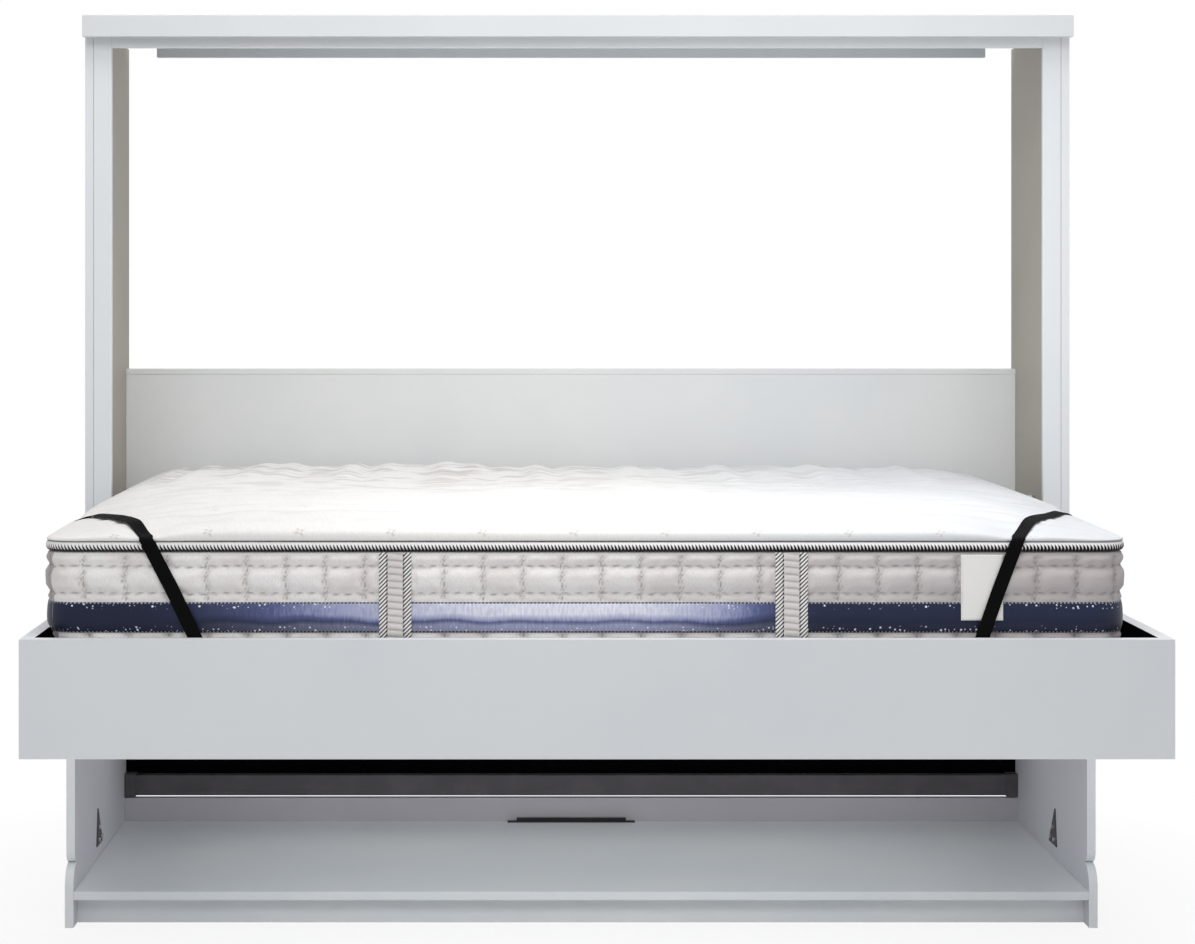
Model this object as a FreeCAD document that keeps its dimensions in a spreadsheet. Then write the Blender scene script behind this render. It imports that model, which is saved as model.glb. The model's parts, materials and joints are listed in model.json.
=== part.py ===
"""Cabinet bed: a queen bed that folds up sideways into a shallow wall cabinet.

X runs along the wall, Z is up and the front faces -Y. Inside this file a place out from the
wall is a depth: 0 at the wall, growing towards the room. The origin is on the floor, in the
middle of the whole object with the bed down.
"""
import FreeCAD, Part
import os
import re

import Sketcher
from FreeCAD import Placement, Rotation, Vector

doc = FreeCAD.newDocument("CabinetBed")

# ---------------------------------------------------------------------------------------------
# Driving dimensions, in millimetres unless the note says otherwise
# ---------------------------------------------------------------------------------------------
SIZES = [
    ("mattress_length", 2032, "queen mattress, along the wall"),
    ("mattress_width", 1524, "queen mattress, out from the wall"),
    ("mattress_height", 269, "slats to the upper seam"),
    ("mattress_crown", 72, "upper seam to the top of the pillow"),
    ("mattress_corner", 60, "corner radius in plan"),
    ("mattress_shift", 15, "how far the mattress lies left of the middle"),
    ("mattress_front_gap", 15, "mattress to the front and rear rails"),
    ("mattress_end_gap", 35, "mean gap from the mattress to a side rail"),
    ("cover_wall", 14, "quilted cover, skin to the hollow for the springs"),
    ("piping_radius", 6.5, "twisted piping on both seams"),
    ("seam_height", 9, "slats to the lower seam"),
    ("band_low", 107, "slats to the lower edge of the satin band"),
    ("band_high", 167, "slats to the upper edge of the satin band"),
    ("border_rod_radius", 2.5, "steel rod round the spring unit"),
    ("handle_width", 58, "mattress handle strip"),
    ("handle_thickness", 1.5, "mattress handle strip"),
    ("handle_gap", 1, "piping to the handle strips' ends"),
    ("handle_inset", 644, "mattress end to the middle of each handle, but for the shift"),
    ("handle_shift", 10, "how far the handles lie right of the mattress's middle"),
    ("label_width", 79, "sewn label"),
    ("label_height", 123, "sewn label"),
    ("label_thickness", 0.8, "sewn label"),
    ("label_drop", 5, "piping to the label's top"),
    ("label_inset", 277, "right end of the mattress to the middle of the label"),
    ("cloth_gap", 0.3, "what is kept clear between soft pieces and their neighbours"),
    ("strap_width", 26, "corner strap webbing"),
    ("strap_thickness", 2, "corner strap webbing"),
    ("strap_lift", 3.2, "mattress to the strap"),
    ("left_strap_side_reach", 375, "mattress corner to the strap, along the end"),
    ("right_strap_side_reach", 510, "mattress corner to the strap, along the end"),
    ("left_strap_front_reach", 190, "mattress corner to the strap, along the front"),
    ("right_strap_front_reach", 210, "mattress corner to the strap, along the front"),
    ("left_strap_front_slant", 0.475, "run along the front for each step down"),
    ("right_strap_front_slant", 0.36, "run along the front for each step down"),
    ("strap_side_slant", 0.7, "run along the end for each step down"),
    ("strap_lead", 80, "rails' top to where the strap lies on the mattress"),
    ("strap_anchor_height", 45, "slats to the strap's lower end"),
    ("anchor_length", 44, "strap anchor plate"),
    ("anchor_height", 26, "strap anchor plate"),
    ("anchor_thickness", 3, "strap anchor plate"),
    ("board", 19, "cabinet board thickness"),
    ("rail_thickness", 25, "bed box rails"),
    ("bed_rail_height", 223, "bed box rails"),
    ("bed_bottom", 531, "floor to the bed box, bed down"),
    ("bed_setback", 99, "wall to the bed box, bed down"),
    ("face_panel_thickness", 18, "panel that shows when the bed is up"),
    ("slat_rise", 119, "underside of the bed box to the top of the slats"),
    ("slat_thickness", 19, "bed slats"),
    ("slat_width", 70, "bed slats"),
    ("slat_count", 14, "number of bed slats"),
    ("slat_end_gap", 1, "slat ends to the rails"),
    ("slat_margin", 40, "outer slats to the side rails"),
    ("ledge_width", 30, "battens that carry the slats"),
    ("ledge_height", 40, "battens that carry the slats"),
    ("bearer_thickness", 25, "beams under the slats"),
    ("corner_block", 60, "side of the blocks in the bed box corners"),
    ("cabinet_depth", 564, "upper cabinet, wall to front"),
    ("lower_depth", 817, "lower cabinet, wall to front"),
    ("lower_top", 740, "floor to the step in the side panels"),
    ("step_radius", 100, "rounding of the step"),
    ("panel_foot_radius", 27, "rounding of the side panel's lower front corner"),
    ("side_gap", 45, "bed box to side panel, where the mechanism is"),
    ("stile_gap", 3, "bed box to stile"),
    ("door_gap", 3, "bed box to the top rail when the bed is up"),
    ("stile_bottom", 842, "floor to the stiles"),
    ("top_rail_height", 52, "rail above the opening"),
    ("fascia_height", 50, "fascia of the top"),
    ("top_overhang", 42, "fascia past the front of the cabinet"),
    ("top_setback", 60, "wall to the top board"),
    ("stretcher_height", 27, "stretcher under the rear of the top board"),
    ("stretcher_inset", 81, "stretcher end to side panel"),
    ("base_height", 138, "floor to the joint between base and side panels"),
    ("base_depth", 836, "wall to the front of the base"),
    ("cheek_radius", 50, "rounding of the base cheek's upper front corner"),
    ("shelf_top", 80, "floor to the top of the base shelf"),
    ("shelf_rear", 81, "wall to the rear edge of the base shelf"),
    ("kick_recess", 50, "toe-kick behind the shelf's front edge"),
    ("headboard_bottom", 890, "floor to the headboard"),
    ("headboard_top", 1213.5, "floor to the top of the headboard cap"),
    ("headboard_rear", 34, "wall to the headboard"),
    ("cap_height", 14, "headboard cap"),
    ("cap_lip", 2, "headboard cap past each face of the headboard"),
    ("back_panel_thickness", 6, "dark lower back panel"),
    ("back_panel_top", 480, "floor to the top of the lower back panel"),
    ("crossbar_depth", 30, "rear crossbar, front to back"),
    ("crossbar_height", 50, "rear crossbar"),
    ("crossbar_wall", 2, "rear crossbar's tube wall"),
    ("crossbar_rise", 6, "rear board of the base to the crossbar"),
    ("socket_length", 28, "sockets on the crossbar's ends"),
    ("socket_wall", 3, "sockets on the crossbar's ends"),
    ("socket_fit", 0.2, "crossbar to socket, each side"),
    ("grommet_length", 319, "flange of the cable grommet"),
    ("grommet_width", 18, "flange of the cable grommet"),
    ("grommet_flange", 2, "thickness of the grommet flange"),
    ("grommet_body_length", 273, "raised part of the cable grommet"),
    ("grommet_body_width", 10, "raised part of the cable grommet"),
    ("grommet_rise", 8, "raised part above the flange"),
    ("grommet_wall", 2, "wall of the raised part"),
    ("grommet_setback", 3, "rear edge of the shelf to the grommet's flange"),
    ("gusset_width", 78, "triangular plates across the base joint"),
    ("gusset_height", 87, "triangular plates across the base joint"),
    ("gusset_lean", 22, "how far the gusset's top lies in front of its middle"),
    ("gusset_thickness", 3, "triangular plates across the base joint"),
    ("gusset_middle", 483, "wall to the middle of the gusset"),
    ("gusset_drop", 28, "gusset below the base joint"),
    ("pivot_height", 680, "floor to the bed pivot"),
    ("pin_radius", 10, "bed pivot pin"),
    ("pin_fit", 0.05, "running clearance of the pins in their bores, on the radius"),
    ("bush_wall", 4, "pivot bush"),
    ("boss_wall", 8, "boss round the pivot bush"),
    ("pin_flange", 1.5, "collar of the pivot pin"),
    ("boss_gap", 1.5, "collar of the pin to the boss"),
    ("pin_end_gap", 2, "end of the pin to the side panel"),
    ("hinge_plate_width", 120, "both pivot plates"),
    ("hinge_plate_height", 130, "both pivot plates"),
    ("hinge_plate_thickness", 6, "both pivot plates"),
    ("hinge_screw_inset", 15, "screws from the pivot plates' edges"),
    ("stud_circle", 260, "bed pivot to both gas strut studs"),
    ("upper_stud_angle", 130, "degrees from the front, round the pivot"),
    ("lower_stud_angle", 200, "degrees from the front, bed down"),
    ("stud_radius", 5, "gas strut studs"),
    ("stud_shoulder", 8, "radius of the studs' shoulders"),
    ("stud_head", 7.5, "radius of the studs' heads"),
    ("stud_head_height", 2, "studs' heads"),
    ("strut_bracket_width", 44, "strut brackets"),
    ("strut_bracket_height", 64, "strut brackets"),
    ("strut_bracket_thickness", 4, "strut brackets"),
    ("strut_screw_inset", 10, "screws from the strut brackets' ends"),
    ("strut_tube_radius", 11, "gas strut cylinder"),
    ("strut_tube_wall", 1.5, "gas strut cylinder"),
    ("strut_tube_end", 14, "upper stud to the cylinder's closed end"),
    ("strut_mouth_gap", 16, "cylinder's mouth to the lower stud, bed down"),
    ("strut_gland_length", 12, "guide in the cylinder's mouth"),
    ("strut_rod_radius", 5, "gas strut rod"),
    ("strut_rod_gap", 4, "piston to the cylinder's end, bed down"),
    ("strut_piston_length", 10, "piston"),
    ("strut_eye_radius", 9, "eyes at both ends of the strut"),
    ("strut_eye_width", 12, "eyes at both ends of the strut"),
    ("strut_neck", 5.5, "radius of the neck between the eye and the cylinder"),
    ("strut_eye_gap", 0.4, "eye to shoulder and head"),
    ("screw_radius", 3, "shank of every screw"),
    ("screw_head_radius", 6, "head of every screw"),
    ("screw_head_height", 3.5, "head of every screw"),
    ("screw_play", 0.2, "plate holes round the screws"),
    ("panel_bite", 14, "screws into the side panels"),
    ("rail_bite", 18, "screws into the bed rails"),
    ("corner_screw_length", 70, "screws that join the bed box corners"),
    ("corner_screw_inset", 45, "corner screws from the rails' edges"),
    ("stop_front", 780, "wall to the front of the bed stops"),
    ("stop_length", 80, "bed stops, front to back"),
    ("stop_reach", 30, "bed stops under the bed box"),
    ("stop_thickness", 6, "bed stops"),
    ("stop_flange", 80, "bed stops' flange on the side panel"),
    ("stop_pad_height", 5.7, "rubber pad on each stop"),
    ("stop_pad_gap", 0.3, "pad to the bed box, bed down"),
    ("wall_bracket_low", 520, "floor to the wall brackets"),
    ("wall_bracket_height", 340, "wall brackets"),
    ("wall_bracket_width", 42, "wall brackets, along the wall"),
    ("wall_bracket_depth", 33, "wall brackets, out from the wall"),
    ("wall_bracket_thickness", 3, "wall brackets"),
    ("wall_hole_radius", 4.5, "holes for the wall bolts"),
    ("wall_hole_inset", 20, "wall bolts from the brackets' ends"),
]

# Places that follow from the sizes
PLACES = [
    ("box_length", "mattress_length + 2 * (mattress_end_gap + rail_thickness)", "bed box"),
    ("box_depth", "mattress_width + 2 * (mattress_front_gap + rail_thickness)", "bed box"),
    ("bed_half", "box_length / 2", "middle to the bed box's end"),
    ("bed_front", "bed_setback + box_depth", "wall to the bed box's front"),
    ("half_depth", "bed_front / 2", "origin to the wall"),
    ("bed_top", "bed_bottom + bed_rail_height", "floor to the rails' top"),
    ("rear_inner", "bed_setback + rail_thickness", "wall to the rear rail's inner face"),
    ("front_inner", "bed_front - rail_thickness", "wall to the front rail's inner face"),
    ("end_inner", "bed_half - rail_thickness", "middle to a side rail's inner face"),
    ("face_top", "bed_bottom + face_panel_thickness", "floor to the top of the face panel"),
    ("slat_top", "bed_bottom + slat_rise", "floor to the top of the slats"),
    ("slat_low", "slat_top - slat_thickness", "floor to the underside of the slats"),
    ("inner_half", "bed_half + side_gap", "middle to a side panel's inner face"),
    ("outer_half", "inner_half + board", "middle to a side panel's outer face"),
    ("stile_inner", "bed_half + stile_gap", "middle to a stile's inner edge"),
    ("pivot_depth", "cabinet_depth - (pivot_height - bed_bottom)", "wall to the bed pivot"),
    ("opening_top", "pivot_height + bed_front - pivot_depth + door_gap", "floor to the top rail"),
    ("panel_top", "opening_top + top_rail_height", "floor to the side panels' top"),
    ("total_height", "panel_top + board", "floor to the top"),
    ("top_front", "cabinet_depth + top_overhang", "wall to the fascia's front"),
    ("mattress_rear", "rear_inner + mattress_front_gap", "wall to the mattress"),
    ("mattress_middle", "mattress_rear + mattress_width / 2", "wall to the mattress's middle"),
    ("crossbar_front", "shelf_rear", "wall to the crossbar's front face"),
    ("crossbar_rear", "crossbar_front - crossbar_depth", "wall to the crossbar's rear face"),
    ("crossbar_low", "base_height + crossbar_rise", "floor to the crossbar"),
    ("grommet_rear", "shelf_rear + grommet_setback", "wall to the grommet's flange"),
    ("grommet_middle", "grommet_rear + grommet_width / 2", "wall to the grommet's middle"),
    ("gusset_low", "base_height - gusset_drop", "floor to the gusset's lower edge"),
    ("bush_radius", "pin_radius + bush_wall", "outside of the bush"),
    ("boss_radius", "bush_radius + boss_wall", "outside of the boss"),
    ("bed_plate_face", "bed_half + hinge_plate_thickness", "outer face of the bed's pivot plate"),
    ("boss_start", "bed_plate_face + pin_flange + boss_gap", "middle to the boss"),
    ("pin_end", "inner_half - pin_end_gap", "middle to the pin's end"),
    ("strut_line", "(bed_half + inner_half) / 2", "middle to the gas strut's axis"),
    ("eye_half", "strut_eye_width / 2", "half an eye"),
    ("upper_stud_depth", "pivot_depth + stud_circle * cos(upper_stud_angle)", "wall to the stud"),
    ("upper_stud_height", "pivot_height + stud_circle * sin(upper_stud_angle)", "floor to the stud"),
    ("lower_stud_depth", "pivot_depth + stud_circle * cos(lower_stud_angle)", "wall to the stud"),
    ("lower_stud_height", "pivot_height + stud_circle * sin(lower_stud_angle)", "floor to the stud"),
    ("strut_lean", "180 - (upper_stud_angle + lower_stud_angle) / 2", "strut to straight down"),
    ("stud_span", "2 * stud_circle * sin((lower_stud_angle - upper_stud_angle) / 2)", "bed down"),
    ("tube_bore", "strut_tube_radius - strut_tube_wall", "bore of the cylinder"),
    ("tube_mouth", "stud_span - strut_mouth_gap", "upper stud to the cylinder's mouth"),
    ("rod_tip", "strut_tube_end + strut_tube_wall + strut_rod_gap", "upper stud to the piston"),
    ("plate_hole", "screw_radius + screw_play", "holes for screws in plates"),
    ("stop_top", "bed_bottom - stop_pad_gap - stop_pad_height", "floor to the stop's top face"),
    ("stop_rear", "stop_front - stop_length", "wall to the rear of the stops"),
    ("wall_hole_x", "inner_half - wall_bracket_width / 2", "middle to the wall bolts"),
    ("wall_bracket_top", "wall_bracket_low + wall_bracket_height", "floor to the brackets' top"),
]
NAMES = {"Sizes": [row[0] for row in SIZES], "Places": [row[0] for row in PLACES]}


def bound(rule, home=None):
    """The rule with each name led by its sheet, apart from names of the sheet it stands in."""
    def led(match):
        word = match.group(0)
        for sheet, names in NAMES.items():
            if word in names and sheet != home:
                return f"{sheet}.{word}"
        return word
    return re.sub(r"[a-z][a-z_]*", led, str(rule))


def fill(label, rows):
    """A sheet with a name, a value or rule, and a note on each row."""
    sheet = doc.addObject("Spreadsheet::Sheet", label)
    for line, (alias, content, note) in enumerate(rows, start=1):
        text = "=" + bound(content, label) if isinstance(content, str) else str(content)
        sheet.set(f"A{line}", alias)
        sheet.set(f"B{line}", text)
        sheet.setAlias(f"B{line}", alias)
        sheet.set(f"C{line}", note)
    doc.recompute()
    return sheet


fill("Sizes", SIZES)
fill("Places", PLACES)
reader = doc.addObject("Spreadsheet::Sheet", "Reader")


def number(rule):
    """What a rule comes to, worked out in a cell of its own."""
    reader.set("A1", "=" + bound(rule))
    reader.recompute()
    return float(reader.get("A1"))


def place(x, depth, height):
    """A point from rules for its X, its depth from the wall and its height."""
    return Vector(number(x), number(f"half_depth - ({depth})"), number(height))


# ---------------------------------------------------------------------------------------------
# Ways to make a piece
# ---------------------------------------------------------------------------------------------
PIECES = []
DEPTHWISE = Rotation(Vector(0, 0, 1), 180)


def keep(piece, label=None):
    """Marks an object as a sub-part of the bed, under its label."""
    piece.Label = label or piece.Name
    PIECES.append(piece)
    return piece


def set_rules(piece, **rules):
    for field, rule in rules.items():
        piece.setExpression(field.replace("_at_", "Placement.Base."), bound(rule))


def block(name, left, right, rear, front, low, high):
    """A straight board between two X values, two depths and two heights."""
    piece = doc.addObject("Part::Box", name)
    set_rules(
        piece,
        Length=f"({right}) - ({left})",
        Width=f"({front}) - ({rear})",
        Height=f"({high}) - ({low})",
        _at_x=left,
        _at_y=f"half_depth - ({front})",
        _at_z=low,
    )
    return piece


def rod(name, start, end, depth, height, radius):
    """A round bar along X."""
    piece = doc.addObject("Part::Cylinder", name)
    piece.Placement = Placement(Vector(), Rotation(Vector(0, 1, 0), 90))
    set_rules(
        piece,
        Radius=radius,
        Height=f"({end}) - ({start})",
        _at_x=start,
        _at_y=f"half_depth - ({depth})",
        _at_z=height,
    )
    return piece


def joined(name, pieces):
    whole = doc.addObject("Part::MultiFuse", name)
    whole.Shapes = pieces
    return whole


def cut(name, base, tool):
    result = doc.addObject("Part::Cut", name)
    result.Base = base
    result.Tool = tool
    return result


def twin(name, piece):
    """The same piece on the left."""
    result = doc.addObject("Part::Mirroring", name)
    result.Source = piece
    result.Normal = (1, 0, 0)
    return result


def pair(name, piece):
    """A right piece and its left twin, kept under one name."""
    both = doc.addObject("Part::Compound", name)
    both.Links = [piece, twin(name + "_left", piece)]
    return keep(both)


def shaped(name, shape):
    """A piece whose shape is worked out by a function."""
    piece = doc.addObject("Part::Feature", name)
    piece.Shape = shape
    return piece


def side_body(name, outer_face):
    """A body drawn on a plane across the wall, in depth and height, grown towards -X."""
    body = doc.addObject("PartDesign::Body", name)
    body.Placement = Placement(Vector(), DEPTHWISE)
    set_rules(body, _at_x=outer_face, _at_y="half_depth")
    return body


def side_sketch(body, name, corners=(), circles=()):
    """A closed outline of straight edges, and round outlines, each as depth, height, radius."""
    sketch = body.newObject("Sketcher::SketchObject", name)
    planes = [item for item in body.Origin.OriginFeatures if item.Role == "YZ_Plane"]
    sketch.AttachmentSupport = [(planes[0], "")]
    sketch.MapMode = "FlatFace"
    spots = [Vector(number(depth), number(height), 0) for depth, height in corners]
    for index, spot in enumerate(spots):
        sketch.addGeometry(Part.LineSegment(spot, spots[(index + 1) % len(spots)]), False)
    for index in range(len(spots)):
        following = (index + 1) % len(spots)
        sketch.addConstraint(Sketcher.Constraint("Coincident", index, 2, following, 1))
    for index, (depth, height) in enumerate(corners):
        pin_down(sketch, index, 1, depth, height)
    for depth, height, radius in circles:
        centre = Vector(number(depth), number(height), 0)
        circle = Part.Circle(centre, Vector(0, 0, 1), number(radius))
        index = sketch.addGeometry(circle, False)
        measure(sketch, Sketcher.Constraint("Radius", index, number(radius)), radius)
        pin_down(sketch, index, 3, depth, height)
    return sketch


def measure(sketch, constraint, rule):
    index = sketch.addConstraint(constraint)
    sketch.setExpression(f"Constraints[{index}]", bound(rule))


def pin_down(sketch, index, end, depth, height):
    """Holds one point of a sketch at its depth and height."""
    measure(sketch, Sketcher.Constraint("DistanceX", index, end, number(depth)), depth)
    measure(sketch, Sketcher.Constraint("DistanceY", index, end, number(height)), height)


def pad(body, sketch, length):
    feature = body.newObject("PartDesign::Pad", sketch.Name + "_pad")
    feature.Profile = sketch
    set_rules(feature, Length=length)
    return feature


def bored(body, sketch, before):
    """A hole right through the body, with a check that it took material away."""
    feature = body.newObject("PartDesign::Pocket", sketch.Name + "_hole")
    feature.Profile = sketch
    feature.Type = 1
    feature.Midplane = True
    doc.recompute()
    if feature.Shape.Volume >= before.Shape.Volume:
        raise RuntimeError(f"{sketch.Name} cuts nothing")
    return feature


def rounded(body, feature, depth, height, radius):
    """Rounds the edge that runs along X at this depth and height."""
    doc.recompute()
    spot = Vector(0, number(depth), number(height))
    names = []
    for index, edge in enumerate(feature.Shape.Edges, start=1):
        ends = [vertex.Point for vertex in edge.Vertexes]
        if len(ends) == 2 and all((Vector(0, p.y, p.z) - spot).Length < 0.01 for p in ends):
            names.append(f"Edge{index}")
    fillet = body.newObject("PartDesign::Fillet", f"{feature.Name}_round_{int(spot.y)}")
    fillet.Base = (feature, names)
    set_rules(fillet, Radius=radius)
    return fillet


def rectangle(middle_depth, middle_height, width, tall):
    """Corners of an upright rectangle about its middle."""
    signs = [("-", "-"), ("+", "-"), ("+", "+"), ("-", "+")]
    return [
        (f"{middle_depth} {across} {width} / 2", f"{middle_height} {up} {tall} / 2")
        for across, up in signs
    ]


# ---------------------------------------------------------------------------------------------
# Screws: their spots are used for the plates' holes, the screws and the boards' holes
# ---------------------------------------------------------------------------------------------
HINGE_SPOTS = rectangle(
    "pivot_depth",
    "pivot_height",
    "(hinge_plate_width - 2 * hinge_screw_inset)",
    "(hinge_plate_height - 2 * hinge_screw_inset)",
)


def strut_spots(stud):
    reach = "(strut_bracket_height / 2 - strut_screw_inset)"
    return [(f"{stud}_depth", f"{stud}_height {sign} {reach}") for sign in "+-"]


STOP_SPOTS = [
    (f"stop_front - stop_length / 2 {sign} stop_length / 4", "stop_top - stop_flange * 2 / 3")
    for sign in "+-"
]
GUSSET_SPOTS = [
    ("gusset_middle - gusset_width / 4", "gusset_low + gusset_drop / 2"),
    ("gusset_middle + gusset_width / 4", "gusset_low + gusset_drop / 2"),
    ("gusset_middle + gusset_lean / 2", "base_height + gusset_drop / 2"),
]
BRACKET_SPOTS = [
    ("wall_bracket_depth / 2", f"wall_bracket_low + wall_bracket_height * {part}")
    for part in (0.25, 0.75)
]
CORNER_SPOTS = [
    ("bed_setback + rail_thickness / 2", f"{edge} corner_screw_inset")
    for edge in ("bed_bottom +", "bed_top -")
]


def screw(face_x, spot, direction, length):
    """A screw whose head lies on the plane X = face_x; direction 1 goes towards +X."""
    start = place(face_x, *spot)
    along = Vector(direction, 0, 0)
    back = start - along * number("screw_head_height")
    head = Part.makeCylinder(
        number("screw_head_radius"), number("screw_head_height"), back, along
    )
    shank = Part.makeCylinder(number("screw_radius"), number(length), start, along)
    return head.fuse(shank).removeSplitter()


def both_ways(solids):
    """The solids and their mirror images on the left, as one group."""
    flipped = [solid.mirror(Vector(), Vector(1, 0, 0)) for solid in solids]
    return Part.makeCompound(solids + flipped)


def cabinet_screws():
    rows = [
        ("hinge_plate_thickness", HINGE_SPOTS),
        ("strut_bracket_thickness", strut_spots("upper_stud")),
        ("stop_thickness", STOP_SPOTS),
        ("gusset_thickness", GUSSET_SPOTS),
        ("wall_bracket_thickness", BRACKET_SPOTS),
    ]
    solids = [
        screw(f"inner_half - {plate}", spot, 1, f"{plate} + panel_bite")
        for plate, spots in rows
        for spot in spots
    ]
    return both_ways(solids)


def bed_screws():
    rows = [
        ("hinge_plate_thickness", HINGE_SPOTS),
        ("strut_bracket_thickness", strut_spots("lower_stud")),
    ]
    solids = [
        screw(f"bed_half + {plate}", spot, -1, f"{plate} + rail_bite")
        for plate, spots in rows
        for spot in spots
    ]
    sunk = "bed_half - screw_head_height"
    solids += [screw(sunk, spot, -1, "corner_screw_length") for spot in CORNER_SPOTS]
    return both_ways(solids)


# ---------------------------------------------------------------------------------------------
# Cabinet
# ---------------------------------------------------------------------------------------------
def make_side_panels(screws):
    """Deep below and shallow above, with a rounded step between, on the joint of the base."""
    body = side_body("side_panel_board", "outer_half")
    corners = [
        ("0", "base_height"),
        ("lower_depth", "base_height"),
        ("lower_depth", "lower_top"),
        ("cabinet_depth", "lower_top"),
        ("cabinet_depth", "panel_top"),
        ("0", "panel_top"),
    ]
    shape = pad(body, side_sketch(body, "side_panel_outline", corners), "board")
    shape = rounded(body, shape, "lower_depth", "base_height", "panel_foot_radius")
    shape = rounded(body, shape, "lower_depth", "lower_top", "step_radius")
    rounded(body, shape, "cabinet_depth", "lower_top", "step_radius")
    keep(cut("right_side_panel", body, screws))
    keep(cut("left_side_panel", twin("left_side_panel_board", body), screws))


def make_base(screws):
    """Two cheeks that stand on the floor, with the shelf, toe-kick and rear board between."""
    body = side_body("base_cheek_board", "outer_half")
    corners = [("0", "0"), ("base_depth", "0"), ("base_depth", "base_height"), ("0", "base_height")]
    shape = pad(body, side_sketch(body, "base_cheek_outline", corners), "board")
    rounded(body, shape, "base_depth", "base_height", "cheek_radius")
    keep(cut("right_base_cheek", body, screws))
    keep(cut("left_base_cheek", twin("left_base_cheek_board", body), screws))
    ends = ("-inner_half", "inner_half")
    shelf = block(
        "shelf_board", *ends, "shelf_rear", "base_depth", "shelf_top - board", "shelf_top"
    )
    slot = block(
        "grommet_slot",
        "-grommet_body_length / 2",
        "grommet_body_length / 2",
        "grommet_middle - grommet_body_width / 2",
        "grommet_middle + grommet_body_width / 2",
        "shelf_top - 2 * board",
        "shelf_top + board",
    )
    keep(cut("base_shelf", shelf, slot))
    kick_front = "base_depth - kick_recess"
    keep(block("toe_kick", *ends, f"{kick_front} - board", kick_front, "0", "shelf_top - board"))
    keep(
        block("base_rear_board", *ends, "shelf_rear - board", "shelf_rear", "0", "base_height")
    )


def make_front_frame():
    """Stiles inside the side panels, the rail above the opening and the overhanging top."""
    stile = block(
        "right_stile",
        "stile_inner",
        "inner_half",
        "cabinet_depth - board",
        "cabinet_depth",
        "stile_bottom",
        "panel_top",
    )
    keep(stile)
    keep(twin("left_stile", stile))
    keep(
        block(
            "top_rail",
            "-stile_inner",
            "stile_inner",
            "cabinet_depth - board",
            "cabinet_depth",
            "opening_top",
            "panel_top",
        )
    )
    ends = ("-outer_half", "outer_half")
    keep(
        block(
            "top_board", *ends, "top_setback", "top_front - board", "panel_top", "total_height"
        )
    )
    keep(
        block(
            "top_fascia",
            *ends,
            "top_front - board",
            "top_front",
            "total_height - fascia_height",
            "total_height",
        )
    )
    keep(
        block(
            "top_stretcher",
            "-inner_half + stretcher_inset",
            "inner_half - stretcher_inset",
            "top_setback",
            "top_setback + board",
            "panel_top - stretcher_height",
            "panel_top",
        )
    )


def make_back():
    """Headboard with its cap, the dark lower back panel and the steel crossbar."""
    ends = ("-inner_half", "inner_half")
    face = "headboard_rear + board"
    cap_low = "headboard_top - cap_height"
    keep(block("headboard_panel", *ends, "headboard_rear", face, "headboard_bottom", cap_low))
    cap = ("headboard_rear - cap_lip", f"{face} + cap_lip", cap_low, "headboard_top")
    keep(block("headboard_cap", *ends, *cap))
    keep(
        block(
            "lower_back_panel",
            *ends,
            "crossbar_rear - back_panel_thickness",
            "crossbar_rear",
            "base_height",
            "back_panel_top",
        )
    )
    bar_end = "inner_half - socket_wall"
    bar = ("crossbar_rear", "crossbar_front", "crossbar_low", "crossbar_low + crossbar_height")
    bore = [f"({rule}) {sign} crossbar_wall" for rule, sign in zip(bar, "+-+-")]
    outside = block("crossbar_outside", f"-({bar_end})", bar_end, *bar)
    inside = block("crossbar_inside", f"-({bar_end}) - board", f"{bar_end} + board", *bore)
    keep(cut("rear_crossbar", outside, inside))
    grip = [f"({rule}) {sign} socket_fit" for rule, sign in zip(bar, "-+-+")]
    shell = [f"({rule}) {sign} socket_wall" for rule, sign in zip(grip, "-+-+")]
    shell[0] = "crossbar_rear"
    grip[0] = "crossbar_rear"
    outside = block("socket_outside", "inner_half - socket_length", "inner_half", *shell)
    inside = block("socket_inside", "inner_half - 2 * socket_length", bar_end, *grip)
    pair("crossbar_sockets", cut("socket_shell", outside, inside))


def make_grommet():
    """A flanged slot for cables in the rear of the shelf, closed by a brush."""
    flange = block(
        "grommet_flange_plate",
        "-grommet_length / 2",
        "grommet_length / 2",
        "grommet_rear",
        "grommet_rear + grommet_width",
        "shelf_top",
        "shelf_top + grommet_flange",
    )
    sides = (
        "-grommet_body_length / 2",
        "grommet_body_length / 2",
        "grommet_middle - grommet_body_width / 2",
        "grommet_middle + grommet_body_width / 2",
    )
    heights = ("shelf_top - board", "shelf_top + grommet_flange + grommet_rise")
    collar = block("grommet_collar", *sides, *heights)
    hollow = [f"({rule}) {sign} grommet_wall" for rule, sign in zip(sides, "+-+-")]
    passage = ("shelf_top - 2 * board", "shelf_top + 2 * board")
    slot = block("grommet_hollow", *hollow, *passage)
    keep(cut("cable_grommet", joined("grommet_frame", [flange, collar]), slot))
    brush = (f"shelf_top + grommet_flange + grommet_rise / 2", heights[1])
    keep(block("grommet_brush", *hollow, *brush))


def make_gussets():
    """Triangular steel plates that tie the side panels to the base."""
    body = side_body("gusset_plate", "inner_half")
    corners = [
        ("gusset_middle - gusset_width / 2", "gusset_low"),
        ("gusset_middle + gusset_width / 2", "gusset_low"),
        ("gusset_middle + gusset_lean", "gusset_low + gusset_height"),
    ]
    holes = [(*spot, "plate_hole") for spot in GUSSET_SPOTS]
    pad(body, side_sketch(body, "gusset_outline", corners, holes), "gusset_thickness")
    pair("joint_gussets", body)


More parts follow.
